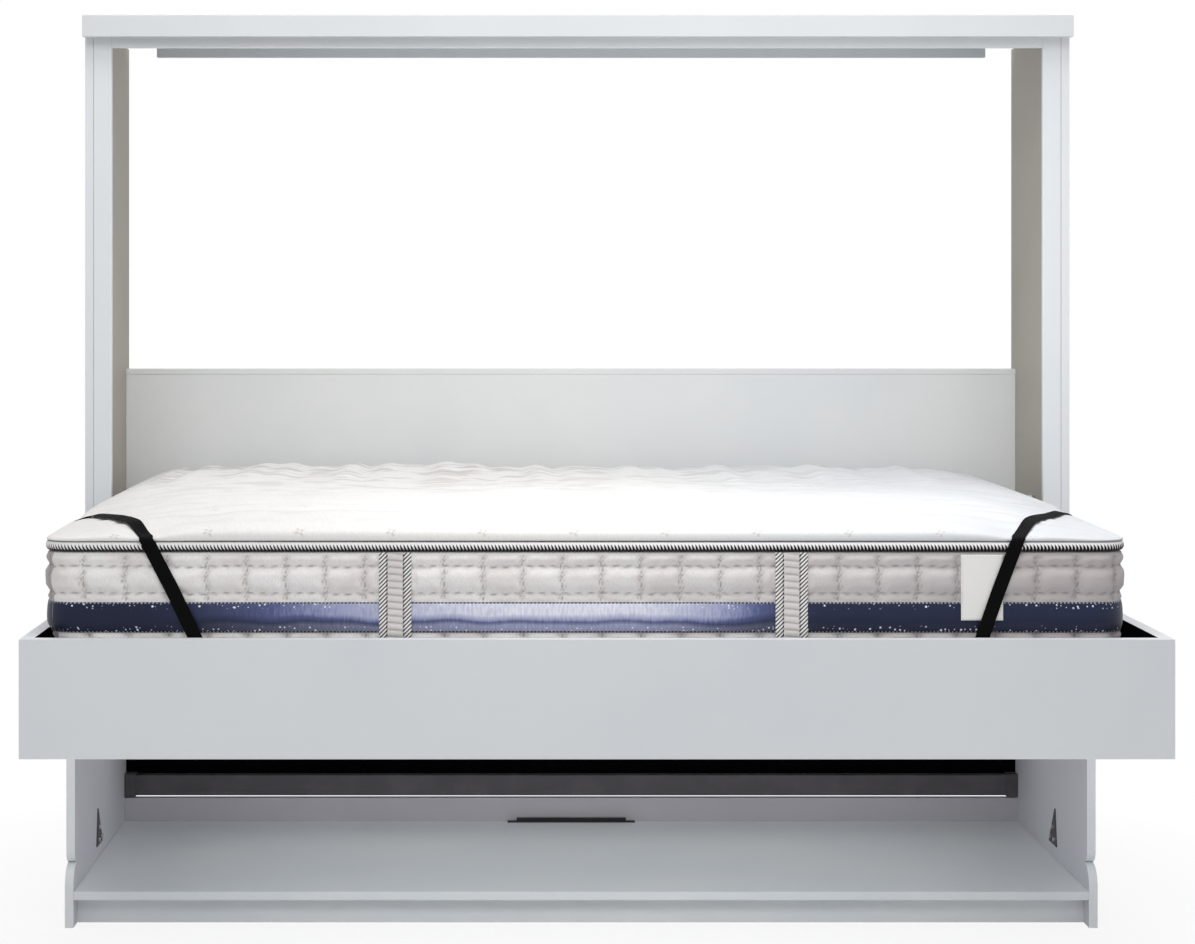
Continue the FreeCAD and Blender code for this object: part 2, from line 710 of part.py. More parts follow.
def make_wall_brackets():
    """Angles in the rear corners, with two wall bolts each."""
    wall_flange = block(
        "bracket_wall_flange",
        "inner_half - wall_bracket_width",
        "inner_half",
        "0",
        "wall_bracket_thickness",
        "wall_bracket_low",
        "wall_bracket_top",
    )
    side_flange = block(
        "bracket_side_flange",
        "inner_half - wall_bracket_thickness",
        "inner_half",
        "0",
        "wall_bracket_depth",
        "wall_bracket_low",
        "wall_bracket_top",
    )
    angle = joined("bracket_angle", [wall_flange, side_flange])
    holes = []
    for row, rule in enumerate(("low + wall_hole_inset", "top - wall_hole_inset")):
        hole = doc.addObject("Part::Cylinder", f"wall_hole_{row}")
        hole.Placement = Placement(Vector(), Rotation(Vector(1, 0, 0), 90))
        set_rules(
            hole,
            Radius="wall_hole_radius",
            Height="2 * board",
            _at_x="wall_hole_x",
            _at_y="half_depth + board",
            _at_z=f"wall_bracket_{rule}",
        )
        holes.append(hole)
    start = "inner_half - board"
    for row, spot in enumerate(BRACKET_SPOTS):
        holes.append(rod(f"bracket_hole_{row}", start, "outer_half", *spot, "plate_hole"))
    pair("wall_brackets", cut("wall_bracket", angle, joined("bracket_holes", holes)))


def make_bed_stops():
    """Angles under the bed box's ends that carry it when it is down, with rubber pads."""
    flange = block(
        "stop_side_flange",
        "inner_half - stop_thickness",
        "inner_half",
        "stop_rear",
        "stop_front",
        "stop_top - stop_flange",
        "stop_top",
    )
    arm = block(
        "stop_arm",
        "bed_half - stop_reach",
        "inner_half",
        "stop_rear",
        "stop_front",
        "stop_top - stop_thickness",
        "stop_top",
    )
    start = "inner_half - board"
    holes = [
        rod(f"stop_hole_{row}", start, "outer_half", *spot, "plate_hole")
        for row, spot in enumerate(STOP_SPOTS)
    ]
    angle = joined("stop_angle", [flange, arm])
    pair("bed_stops", cut("bed_stop", angle, joined("stop_holes", holes)))
    pad_block = block(
        "stop_pad",
        "bed_half - stop_reach",
        "bed_half",
        "stop_rear",
        "stop_front",
        "stop_top",
        "stop_top + stop_pad_height",
    )
    pair("stop_pads", pad_block)


# ---------------------------------------------------------------------------------------------
# Pivots and gas struts, right side first
# ---------------------------------------------------------------------------------------------
def make_cabinet_pivot():
    """A screwed plate with a boss, and the bush in the boss."""
    body = side_body("right_cabinet_hinge_plate", "inner_half")
    size = ("hinge_plate_width", "hinge_plate_height")
    corners = rectangle("pivot_depth", "pivot_height", *size)
    holes = [(*spot, "plate_hole") for spot in HINGE_SPOTS]
    sketch = side_sketch(body, "cabinet_plate_outline", corners, holes)
    pad(body, sketch, "hinge_plate_thickness")
    round_boss = [("pivot_depth", "pivot_height", "boss_radius")]
    sketch = side_sketch(body, "boss_outline", circles=round_boss)
    boss = pad(body, sketch, "inner_half - boss_start")
    bore = [("pivot_depth", "pivot_height", "bush_radius")]
    bored(body, side_sketch(body, "boss_bore", circles=bore), boss)
    keep(body)
    keep(twin("left_cabinet_hinge_plate", body))
    spot = ("pivot_depth", "pivot_height")
    sleeve = rod("bush_sleeve", "boss_start", "inner_half", *spot, "bush_radius")
    hollow = rod("bush_bore", "boss_start - board", "outer_half", *spot, "pin_radius + pin_fit")
    bush = keep(cut("right_pivot_bush", sleeve, hollow))
    keep(twin("left_pivot_bush", bush))


def make_bed_pivot():
    """A screwed plate on the side rail that carries the pivot pin."""
    body = side_body("bed_plate", "bed_plate_face")
    size = ("hinge_plate_width", "hinge_plate_height")
    corners = rectangle("pivot_depth", "pivot_height", *size)
    holes = [(*spot, "plate_hole") for spot in HINGE_SPOTS]
    sketch = side_sketch(body, "bed_plate_outline", corners, holes)
    pad(body, sketch, "hinge_plate_thickness")
    spot = ("pivot_depth", "pivot_height")
    pin = rod("pivot_pin", "bed_half + hinge_plate_thickness / 2", "pin_end", *spot, "pin_radius")
    collar_end = "bed_plate_face + pin_flange"
    collar = rod("pin_collar", "bed_plate_face", collar_end, *spot, "bush_radius")
    plate = keep(joined("right_bed_hinge_plate", [body, pin, collar]))
    keep(twin("left_bed_hinge_plate", plate))


def make_strut_bracket(label, stud, on_bed):
    """A screwed plate with a shouldered stud for one end of the gas strut."""
    face = "bed_half + strut_bracket_thickness" if on_bed else "inner_half"
    body = side_body(f"{stud}_plate", face)
    spot = (f"{stud}_depth", f"{stud}_height")
    corners = rectangle(*spot, "strut_bracket_width", "strut_bracket_height")
    holes = [(*hole, "plate_hole") for hole in strut_spots(stud)]
    sketch = side_sketch(body, f"{stud}_outline", corners, holes)
    pad(body, sketch, "strut_bracket_thickness")
    sign = "-" if on_bed else "+"
    away = "+" if on_bed else "-"
    plate_middle = f"({face}) - strut_bracket_thickness / 2"
    shoulder_end = f"strut_line {sign} (eye_half + strut_eye_gap)"
    head_start = f"strut_line {away} (eye_half + strut_eye_gap)"
    head_end = f"{head_start} {away} stud_head_height"
    spans = [
        (plate_middle, shoulder_end, "stud_shoulder"),
        (shoulder_end, head_start, "stud_radius"),
        (head_start, head_end, "stud_head"),
    ]
    parts = [body]
    for row, (start, end, radius) in enumerate(spans):
        ends = (start, end) if on_bed else (end, start)
        parts.append(rod(f"{stud}_turn_{row}", *ends, *spot, radius))
    bracket = keep(joined(f"right_{label}", parts))
    keep(twin(f"left_{label}", bracket))


def joined_one(name, cuts):
    """One piece as it is, or several as one."""
    return cuts[0] if len(cuts) == 1 else joined(f"{name}_hollow", cuts)


def strut_piece(name, spans, eye_at, bore=None):
    """Round pieces on the strut's line, measured from the upper stud, and one eye."""
    turned = []
    lean = Rotation(Vector(1, 0, 0), 180)
    for row, (start, end, radius) in enumerate(spans + ([bore] if bore else [])):
        part = doc.addObject("Part::Cylinder", f"{name}_turn_{row}")
        part.Placement = Placement(Vector(), lean)
        set_rules(part, Radius=radius, Height=f"({end}) - ({start})", _at_z=f"-({start})")
        turned.append(part)
    round_parts = turned[: len(spans)]
    eye = rod(f"{name}_eye", "-eye_half", "eye_half", "half_depth", "0", "strut_eye_radius")
    hole = rod(f"{name}_hole", "-board", "board", "half_depth", "0", "stud_radius + pin_fit")
    for part in (eye, hole):
        set_rules(part, _at_z=f"-({eye_at})")
    hollow = joined_one(name, [hole] + turned[len(spans):])
    piece = cut(f"right_{name}", joined(f"{name}_body", round_parts + [eye]), hollow)
    # The strut leans about the X axis; its angle comes from the sheet
    piece.Placement = Placement(Vector(), Rotation(Vector(1, 0, 0), 0))
    set_rules(
        piece,
        _at_x="strut_line",
        _at_y="half_depth - upper_stud_depth",
        _at_z="upper_stud_height",
    )
    piece.setExpression("Placement.Rotation.Axis.x", "1")
    piece.setExpression("Placement.Rotation.Angle", bound("strut_lean"))
    keep(piece)
    keep(twin(f"left_{name}", piece))


def make_struts():
    """Gas struts: a cylinder on the cabinet's stud, and a rod with its piston on the bed's."""
    strut_piece(
        "strut_tube",
        [("strut_eye_radius - strut_tube_wall", "strut_tube_end + strut_tube_wall", "strut_neck"),
         ("strut_tube_end", "tube_mouth", "strut_tube_radius")],
        "0",
        bore=("strut_tube_end + strut_tube_wall", "tube_mouth + board", "tube_bore"),
    )
    piston_end = "rod_tip + strut_piston_length"
    strut_piece(
        "strut_rod",
        [("rod_tip", piston_end, "tube_bore - pin_fit"),
         (piston_end, "stud_span - (stud_radius + strut_eye_radius) / 2", "strut_rod_radius")],
        "stud_span",
    )
    make_glands()


def make_glands():
    """The guide in each cylinder's mouth, round the rod."""
    start = number("tube_mouth - strut_gland_length")
    length = number("strut_gland_length")
    down = Vector(0, 0, -1)
    ring = Part.makeCylinder(number("tube_bore"), length, Vector(0, 0, -start), down)
    hollow = number("strut_rod_radius + pin_fit")
    ring = ring.cut(Part.makeCylinder(hollow, length, Vector(0, 0, -start), down))
    gland = keep(shaped("right_strut_gland", ring))
    gland.Placement = Placement(Vector(), Rotation(Vector(1, 0, 0), number("strut_lean")))
    set_rules(
        gland,
        _at_x="strut_line",
        _at_y="half_depth - upper_stud_depth",
        _at_z="upper_stud_height",
    )
    keep(twin("left_strut_gland", gland))


# ---------------------------------------------------------------------------------------------
# Bed box
# ---------------------------------------------------------------------------------------------
def make_bed_box(screws):
    """Four rails round the face panel; the front rail is the long board seen in front."""
    heights = ("bed_bottom", "bed_top")
    long = ("-end_inner", "end_inner")
    keep(block("front_rail", "-bed_half", "bed_half", "front_inner", "bed_front", *heights))
    rear = block("rear_rail_board", *long, "bed_setback", "rear_inner", *heights)
    side = block("side_rail_board", "end_inner", "bed_half", "bed_setback", "front_inner", *heights)
    keep(cut("rear_rail", rear, screws))
    keep(cut("right_side_rail", side, screws))
    keep(cut("left_side_rail", twin("left_side_rail_board", side), screws))
    inside = ("rear_inner", "front_inner")
    keep(block("face_panel", *long, *inside, "bed_bottom", "face_top"))


def solid_box(left, right, rear, front, low, high):
    """A straight board as a shape, from rules."""
    near = place(left, front, low)
    far = place(right, rear, high)
    return Part.makeBox(far.x - near.x, far.y - near.y, far.z - near.z, near)


def make_deck():
    """Slats on two ledges and two bearers, and the blocks in the corners."""
    long = ("-end_inner", "end_inner")
    ledge_heights = ("slat_low - ledge_height", "slat_low")
    ledges = [
        solid_box(*long, "rear_inner", "rear_inner + ledge_width", *ledge_heights),
        solid_box(*long, "front_inner - ledge_width", "front_inner", *ledge_heights),
    ]
    keep(shaped("slat_ledges", Part.makeCompound(ledges)))
    bearers = []
    for part in ("box_depth / 3", "box_depth * 2 / 3"):
        middle = f"bed_setback + {part}"
        thick = (f"{middle} - bearer_thickness / 2", f"{middle} + bearer_thickness / 2")
        bearers.append(solid_box(*long, *thick, "face_top", "slat_low"))
    keep(shaped("bed_bearers", Part.makeCompound(bearers)))
    count = round(number("slat_count"))
    run = "(2 * end_inner - 2 * slat_margin - slat_width)"
    slats = []
    for row in range(count):
        start = f"-end_inner + slat_margin + {run} * {row} / {max(count - 1, 1)}"
        ends = ("rear_inner + slat_end_gap", "front_inner - slat_end_gap")
        slats.append(solid_box(start, f"{start} + slat_width", *ends, "slat_low", "slat_top"))
    keep(shaped("bed_slats", Part.makeCompound(slats)))
    blocks = []
    spans = (("end_inner - corner_block", "end_inner"), ("-end_inner", "corner_block - end_inner"))
    for span in spans:
        for depths in (
            ("rear_inner", "rear_inner + corner_block"),
            ("front_inner - corner_block", "front_inner"),
        ):
            blocks.append(solid_box(*span, *depths, "face_top", "slat_low - ledge_height"))
    keep(shaped("corner_blocks", Part.makeCompound(blocks)))


# ---------------------------------------------------------------------------------------------
# Mattress
# ---------------------------------------------------------------------------------------------
def mattress_ring(inset, rise):
    """A rounded rectangle, drawn in from the mattress's outline, this far above the slats."""
    middle = place("-mattress_shift", "mattress_middle", "slat_top")
    half_x = number("mattress_length") / 2 - inset
    half_y = number("mattress_width") / 2 - inset
    corner = number("mattress_corner")
    radius = corner - inset if inset < corner / 2 else corner / 2
    level = middle + Vector(0, 0, rise)
    edges = []
    bends = [(1, 1), (-1, 1), (-1, -1), (1, -1)]
    slope = radius * 0.5 ** 0.5
    last = None
    first = None
    for sign_x, sign_y in bends:
        centre = level + Vector(sign_x * (half_x - radius), sign_y * (half_y - radius), 0)
        along_x = centre + Vector(sign_x * radius, 0, 0)
        along_y = centre + Vector(0, sign_y * radius, 0)
        bend = centre + Vector(sign_x * slope, sign_y * slope, 0)
        start, end = (along_x, along_y) if sign_x == sign_y else (along_y, along_x)
        if last is not None:
            edges.append(Part.LineSegment(last, start).toShape())
        first = first or start
        edges.append(Part.Arc(start, bend, end).toShape())
        last = end
    edges.append(Part.LineSegment(last, first).toShape())
    return Part.Wire(edges)


def lofted(rings):
    return Part.makeLoft([mattress_ring(inset, rise) for inset, rise in rings], True, True)


# The quilted border, upwards: inset from the outline, a level, and the rise past that level
BORDER = [
    (0.6, "middle of the lower part", -20),
    (0, "middle of the lower part", 6),
    (1.6, "band's lower edge", -18),
    (5, "band's lower edge", 0),
    (3.2, "middle of the band", 0),
    (5, "band's upper edge", 0),
    (1.6, "band's upper edge", 18),
    (0, "middle of the upper part", -3),
    (0.6, "middle of the upper part", 22),
]
# The hollow's top, past its side wall: inset, and share of the crown
HOLLOW = [(10, 0.36), (34, 0.46), (90, 0.60)]
HOLLOW_FLAT = 230
# Inset from the outline, and share of the crown, up the pillow's rounded edge
PILLOW = [(0.5, 0.32), (4, 0.42), (12, 0.50), (26, 0.58), (50, 0.68), (110, 0.84), (260, 1)]


def mattress_profile():
    """Inset and rise of each ring: seams, quilted border, satin band and pillow top."""
    low, high = number("seam_height"), number("mattress_height")
    band_low, band_high = number("band_low"), number("band_high")
    levels = {
        "middle of the lower part": (low + band_low) / 2,
        "band's lower edge": band_low,
        "middle of the band": (band_low + band_high) / 2,
        "band's upper edge": band_high,
        "middle of the upper part": (band_high + high) / 2,
    }
    notch = 2 * number("piping_radius") - 0.5 + number("cloth_gap")
    gap = 0.75 * number("piping_radius")
    foot, lip = number("cloth_gap"), 2.5
    rings = [(notch + 7, foot), (notch, low - gap), (notch, low + gap), (lip, low + 2 * gap)]
    rings += [(inset, levels[level] + past) for inset, level, past in BORDER]
    rings += [(lip, high - 2 * gap), (notch, high - gap), (notch, high + gap), (2, high + 2 * gap)]
    return rings + [(inset, high + number("mattress_crown") * share) for inset, share in PILLOW]


def make_mattress():
    """A quilted cover round the hollow of the spring unit, and the unit's border rods."""
    wall = number("cover_wall")
    high, crown = number("mattress_height"), number("mattress_crown")
    side = 2 * number("piping_radius") + wall
    hollow = [(side, wall), (side, high)]
    hollow += [(side + inset, high + crown * share) for inset, share in HOLLOW]
    hollow.append((side + HOLLOW_FLAT, high + crown - wall))
    cover = lofted(mattress_profile()).cut(lofted(hollow))
    keep(shaped("mattress_cover", cover))
    radius = number("border_rod_radius")
    clear = radius + number("cloth_gap")
    rods = [ring_tube(side + clear, level, radius) for level in (wall + clear, high - clear)]
    keep(shaped("mattress_border_rods", Part.makeCompound(rods)))
    bead = number("piping_radius")
    levels = (number("seam_height"), high)
    beads = [ring_tube(bead - 0.5, level, bead) for level in levels]
    keep(shaped("mattress_piping", Part.makeCompound(beads)))


def ring_tube(inset, rise, radius):
    """A closed round tube that follows a mattress ring."""
    path = mattress_ring(inset, rise)
    start = path.Edges[1].firstVertex().Point
    line = path.Edges[1].tangentAt(path.Edges[1].FirstParameter)
    circle = Part.Wire([Part.makeCircle(radius, start, line)])
    return path.makePipeShell([circle], True, False)


def on_border(middle, width, low, high, thickness, front):
    """A flat strip on the mattress's front or rear border."""
    gap = "cloth_gap"
    if front:
        face = "mattress_rear + mattress_width"
        depths = (f"{face} + {gap}", f"{face} + {gap} + {thickness}")
    else:
        depths = (f"mattress_rear - {gap} - {thickness}", f"mattress_rear - {gap}")
    span = (f"-mattress_shift + {middle} - {width} / 2", f"-mattress_shift + {middle} + {width} / 2")
    return solid_box(*span, *depths, f"slat_top + {low}", f"slat_top + {high}")


def make_mattress_trim():
    """Four handle strips sewn over the border, and a plain label."""
    low = "(seam_height + piping_radius + handle_gap)"
    high = "(mattress_height - piping_radius - handle_gap)"
    strip = ("handle_width", low, high, "handle_thickness")
    strips = [
        on_border(f"{sign} (mattress_length / 2 - handle_inset)", *strip, front)
        for sign in ("handle_shift -", "handle_shift +")
        for front in (True, False)
    ]
    keep(shaped("mattress_handles", Part.makeCompound(strips)))
    top = "(mattress_height - piping_radius - label_drop)"
    low = f"({top} - label_height)"
    middle = "mattress_length / 2 - label_inset"
    label = on_border(middle, "label_width", low, top, "label_thickness", True)
    keep(shaped("mattress_label", label))


# ---------------------------------------------------------------------------------------------
# Corner straps
# ---------------------------------------------------------------------------------------------
def pillow_rise(inset):
    """Rise of the pillow's top above the slats, this far in from its edge."""
    for (before, low), (after, high) in zip(PILLOW, PILLOW[1:]):
        if inset <= after:
            share = low + (high - low) * (inset - before) / (after - before)
            return number("mattress_height") + number("mattress_crown") * share
    return number("mattress_height + mattress_crown")


def over_edge(reach):
    """Inset, rise, inward and outward direction from the pillow's widest point up over its edge."""
    spots = [(inset, pillow_rise(inset)) for inset, _ in PILLOW if inset < reach]
    rows = []
    for index, (inset, rise) in enumerate(spots):
        before = spots[max(index - 1, 0)]
        after = spots[min(index + 1, len(spots) - 1)]
        inward = Vector(after[0] - before[0], 0, after[1] - before[1]).normalize()
        if index == 0:
            inward = Vector(0, 0, 1)
        rows.append((inset, rise, inward, Vector(-inward.z, 0, inward.x)))
    return rows


def strap_crest(reach, other_reach):
    """Inset of the strap's highest point, as far from both edges of the mattress."""
    return reach * other_reach / (reach + other_reach)


def end_sections(reach, other_reach, slope, gap):
    """Strap sections from the rail up one face and over its edge.

    Each has a middle, a width direction and an outward direction. X counts in from the face,
    Y along the edge away from the mattress's corner, Z up from the slats.
    """
    lean = Vector(slope, 1, 0).normalize()
    lie = number("strap_thickness") / 2 + number("strap_lift")
    seat = number("strap_thickness") / 2 + number("anchor_thickness") + number("cloth_gap")
    anchor, rail_rise = number("strap_anchor_height"), number("bed_top - slat_top")
    landing = rail_rise + number("strap_lead")
    edge = over_edge(strap_crest(reach, other_reach))
    start = edge[0][1]
    upright = Vector(0, lean.y, lean.x)
    slope_on_top = reach / other_reach
    face = Vector(-1, 0, 0)
    low = [(seat - gap, anchor), (seat - gap, (anchor + rail_rise) / 2), (-lie, landing)]
    rows = [
        (Vector(inward, reach + (start - rise) * slope, rise), upright, face)
        for inward, rise in low
    ]
    for index, (inset, rise, inward, outward) in enumerate(edge):
        middle = Vector(inset, reach - inset * slope_on_top, rise) + outward * lie
        turn = slope + (slope_on_top - slope) * index / (len(edge) - 1)
        lean = Vector(turn, 1, 0).normalize()
        rows.append((middle, inward * lean.x + Vector(0, lean.y, 0), outward))
    return rows


def strap_solid(sections):
    """A band through its sections, made of flat triangles."""
    half = number("strap_width") / 2
    thick = number("strap_thickness") / 2
    corners = ((-1, -1), (1, -1), (1, 1), (-1, 1))
    rings = [
        [middle + across * (half * a) + out * (thick * b) for a, b in corners]
        for middle, across, out in sections
    ]
    faces = []

    def triangle(*spots):
        faces.append(Part.Face(Part.makePolygon([*spots, spots[0]])))

    for ring, following in zip(rings, rings[1:]):
        for side in range(4):
            other = (side + 1) % 4
            triangle(ring[side], ring[other], following[other])
            triangle(ring[side], following[other], following[side])
    for ring in (rings[0], rings[-1]):
        triangle(ring[0], ring[1], ring[2])
        triangle(ring[0], ring[2], ring[3])
    shell = Part.makeShell(faces)
    shell.sewShape()
    solid = Part.Solid(shell)
    if solid.Volume < 0:
        solid.reverse()
    return solid


def make_strap(name, side):
    """Flat webbing over one front corner of the mattress; side is 1 on the right."""
    end_gap = number("mattress_end_gap") + side * number("mattress_shift")
    corner = place(
        f"{side} * mattress_length / 2 - mattress_shift",
        "mattress_rear + mattress_width",
        "slat_top",
    )
    end_reach, front_reach = number(f"{name}_side_reach"), number(f"{name}_front_reach")
    up_end = end_sections(end_reach, front_reach, number("strap_side_slant"), end_gap)
    front_gap = number("mattress_front_gap")
    up_front = end_sections(front_reach, end_reach, number(f"{name}_front_slant"), front_gap)
    crest = strap_crest(end_reach, front_reach)
    above = pillow_rise(crest) + number("strap_thickness / 2 + strap_lift")

    def on_end(row):
        return Vector(-side * row.x, row.y, row.z)

    def on_front(row):
        return Vector(-side * row.y, row.x, row.z)

    sections = [(corner + on_end(spot), on_end(a), on_end(out)) for spot, a, out in up_end]
    middle = corner + on_end(Vector(crest, crest, above))
    sections.append((middle, on_end(up_end[-1][1]), Vector(0, 0, 1)))
    sections += [
        (corner + on_front(spot), on_front(a), on_front(out))
        for spot, a, out in reversed(up_front)
    ]
    keep(shaped(name, strap_solid(sections)))
    return [sections[0][0], sections[-1][0]]


def make_straps():
    long, tall = number("anchor_length"), number("anchor_height")
    thick = number("anchor_thickness")
    plates = []
    for name, side in (("right_strap", 1), ("left_strap", -1)):
        on_end, on_front = make_strap(name, side)
        rail_x = side * number("end_inner")
        low = Vector(min(rail_x, rail_x - side * thick), on_end.y - long / 2, on_end.z - tall / 2)
        plates.append(Part.makeBox(thick, long, tall, low))
        rail_y = number("half_depth - front_inner")
        low = Vector(on_front.x - long / 2, rail_y, on_front.z - tall / 2)
        plates.append(Part.makeBox(long, thick, tall, low))
    keep(shaped("strap_anchors", Part.makeCompound(plates)))


# ---------------------------------------------------------------------------------------------
# The whole bed
# ---------------------------------------------------------------------------------------------
def check():
    """Stops if any object failed or any sub-part has no valid shape."""
    doc.recompute()
    failed = [item.Label for item in doc.Objects if {"Invalid", "Error"} & set(item.State)]
    if failed:
        raise RuntimeError(f"failed objects: {failed}")
    for piece in PIECES:
        shape = piece.Shape
        if shape.isNull() or not shape.isValid() or not shape.Solids:
            raise RuntimeError(f"{piece.Label} has no valid solid")


def export():
    os.makedirs("parts", exist_ok=True)
    for piece in PIECES:
        piece.Shape.exportStep(f"parts/{piece.Label}.step")


def main():
    in_cabinet = shaped("cabinet_screws", cabinet_screws())
    in_bed = shaped("bed_screws", bed_screws())
    make_side_panels(in_cabinet)
    make_base(in_cabinet)
    make_front_frame()
    make_back()
    make_grommet()
    make_gussets()
    make_wall_brackets()
    make_bed_stops()
    make_cabinet_pivot()
    make_strut_bracket("strut_upper_bracket", "upper_stud", on_bed=False)
    keep(in_cabinet)
    make_bed_box(in_bed)
    make_deck()
    make_bed_pivot()
    make_strut_bracket("strut_lower_bracket", "lower_stud", on_bed=True)
    keep(in_bed)
    make_struts()
    make_mattress()
    make_mattress_trim()
    make_straps()
    check()
    export()
    print(f"{len(PIECES)} sub-parts written")


main()
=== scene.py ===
"""Cabinet bed: finishes, the quilted mattress and the corner straps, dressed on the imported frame."""

import json
import math

import bpy
import numpy as np
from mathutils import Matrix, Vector


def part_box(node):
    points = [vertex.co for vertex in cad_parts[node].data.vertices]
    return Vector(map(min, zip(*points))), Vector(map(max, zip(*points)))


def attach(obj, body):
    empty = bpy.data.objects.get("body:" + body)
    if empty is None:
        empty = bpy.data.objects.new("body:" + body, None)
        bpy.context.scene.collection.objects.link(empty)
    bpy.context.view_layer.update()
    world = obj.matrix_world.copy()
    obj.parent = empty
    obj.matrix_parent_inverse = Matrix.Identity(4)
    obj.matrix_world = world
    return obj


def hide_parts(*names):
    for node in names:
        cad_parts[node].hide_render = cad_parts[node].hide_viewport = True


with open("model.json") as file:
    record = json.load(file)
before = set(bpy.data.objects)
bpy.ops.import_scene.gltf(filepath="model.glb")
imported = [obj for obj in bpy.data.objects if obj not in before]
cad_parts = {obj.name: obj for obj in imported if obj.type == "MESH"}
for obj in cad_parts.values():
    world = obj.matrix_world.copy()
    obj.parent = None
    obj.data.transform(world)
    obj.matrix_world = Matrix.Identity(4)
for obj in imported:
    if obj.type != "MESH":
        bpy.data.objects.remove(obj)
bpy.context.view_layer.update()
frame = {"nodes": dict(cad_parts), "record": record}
MM = 0.001
TURN = 2 * math.pi
chance = np.random.default_rng(7)


# ---- Material tools
def colour(code):
    """An sRGB hex value as linear light."""
    parts = [int(code[i : i + 2], 16) / 255 for i in (0, 2, 4)]
    return (*[c / 12.92 if c <= 0.04045 else ((c + 0.055) / 1.055) ** 2.4 for c in parts], 1.0)


# a Mix node that blends colours: 0 is its share, 6 and 7 are its colours
BLEND = {"out": 2, "data_type": "RGBA"}


def add(tree, kind, inputs=(), out=0, **settings):
    """Adds a node with its settings and links, and gives one of its outputs. The inputs are a list
    in the node's order, or a table by name or number. Each is a value or another node's output."""
    node = tree.nodes.new("ShaderNode" + kind)
    for name, value in settings.items():
        setattr(node, name, value)
    for key, value in inputs.items() if isinstance(inputs, dict) else enumerate(inputs):
        if isinstance(value, bpy.types.NodeSocket):
            tree.links.new(value, node.inputs[key])
        else:
            node.inputs[key].default_value = value
    return node.outputs[out] if node.outputs else node


def new_material(name):
    """An empty material and the tree to draw on."""
    material = bpy.data.materials.new(name)
    material.use_nodes = True
    material.node_tree.nodes.clear()
    return material, material.node_tree


def finished(material, shader, height=None, depth=0.1):
    """Ends a material with its shader, over a relief of this depth in mm."""
    tree = material.node_tree
    if height is not None:
        bump = add(tree, "Bump", {"Height": height, "Distance": depth * MM, "Strength": 0.6})
        shader = {**shader, "Normal": bump}
    add(tree, "OutputMaterial", [add(tree, "BsdfPrincipled", shader)])
    return material


def spots(tree, size, stretch=(1, 1, 1), detail=3.0, over=None):
    """Soft spots of this size in mm, on the object's own axes or over other coordinates."""
    over = over or add(tree, "TexCoord", out="Object")
    spread = add(tree, "Mapping", {"Vector": over, "Scale": stretch})
    return add(tree, "TexNoise", {"Vector": spread, "Scale": 1 / (size * MM), "Detail": detail})


def layers(tree, ground, *over):
    """A ground colour with others laid over it in turn, each by its share."""
    shown = colour(ground)
    for share, tone in over:
        shown = add(tree, "Mix", {0: share, 6: shown, 7: colour(tone)}, **BLEND)
    return shown


def stripes(tree, value, pitch):
    """A wave from 0 to 1 that repeats each pitch of a run, in the run's own unit."""
    turns = add(tree, "Math", [value, TURN / pitch], operation="MULTIPLY")
    wave = add(tree, "Math", [turns], operation="SINE")
    return add(tree, "MapRange", [wave, -1, 1, 0, 1])


# ---- Finishes of the boards and the hardware

# foiled chipboard, in mm: the cloud over a board, the pressed grain of its foil and its depth
BOARD_CLOUD, FOIL_GRAIN, GRAIN_DEPTH = 350, 2.2, 0.04


def laminate(name, body, shade, roughness):
    """Foiled chipboard, hot pressed: even satin colour with a faint cloud and a fine pressed grain."""
    material, tree = new_material(name)
    cloud = add(tree, "MapRange", [spots(tree, BOARD_CLOUD), 0.35, 0.65, 0, 1])
    foil = add(tree, "Mix", {0: cloud, 6: colour(body), 7: colour(shade)}, **BLEND)
    grain = spots(tree, FOIL_GRAIN, detail=1.0)
    satin = add(tree, "MapRange", [grain, 0, 1, roughness - 0.05, roughness + 0.06])
    return finished(material, {"Base Color": foil, "Roughness": satin}, grain, GRAIN_DEPTH)


def inner_laminate():
    """Foiled chipboard inside the side panels, its colour painted shade: warm grey above the bed, pale
    beside the shelf, and blending from one to the other between these heights in metres."""
    shelf_side, bed_side = 0.5, 0.85
    material, tree = new_material("warm_grey_laminate")
    height = add(tree, "SeparateXYZ", [add(tree, "TexCoord", out="Object")], 2)
    shade_above_bed = add(tree, "MapRange", [height, shelf_side, bed_side, 0, 1])
    cloud = spots(tree, BOARD_CLOUD)
    # painted shade: warm greys for the shade above the bed, a paler grey for the lighter shade beside
    # the shelf
    warm = add(tree, "Mix", {0: cloud, 6: colour("BEB7AD"), 7: colour("B6B1A8")}, **BLEND)
    foil = add(tree, "Mix", {0: shade_above_bed, 6: colour("D2D3D8"), 7: warm}, **BLEND)
    grain = spots(tree, FOIL_GRAIN, detail=1.0)
    shader = {"Base Color": foil, "Roughness": 0.6, "Specular IOR Level": 0.3}
    return finished(material, shader, grain, GRAIN_DEPTH)


def hardboard(name, body, fibres):
    """Matt black with the felted fibre of a pressed board face: painted shadow, for boards that stand
    in deep shade.
    """
    material, tree = new_material(name)
    felt = spots(tree, 3, (1, 1, 0.35), 4.0)
    paint = add(tree, "Mix", {0: felt, 6: colour(body), 7: colour(fibres)}, **BLEND)
    return finished(material, {"Base Color": paint, "Roughness": 0.9, "Specular IOR Level": 0.05}, felt)


def planed_pine(name, along):
    """Planed softwood: pale yellow, with long darker growth lines 4 to 8 mm apart."""
    material, tree = new_material(name)
    stretch = [0.04 if axis == along else 1.0 for axis in "XYZ"]
    lines = add(tree, "MapRange", [spots(tree, 6, stretch, 4.0), 0.38, 0.66, 0, 1])
    wood = add(tree, "Mix", {0: lines, 6: colour("DDB98A"), 7: colour("B98A58")}, **BLEND)
    return finished(material, {"Base Color": wood, "Roughness": 0.6}, lines, 0.08)


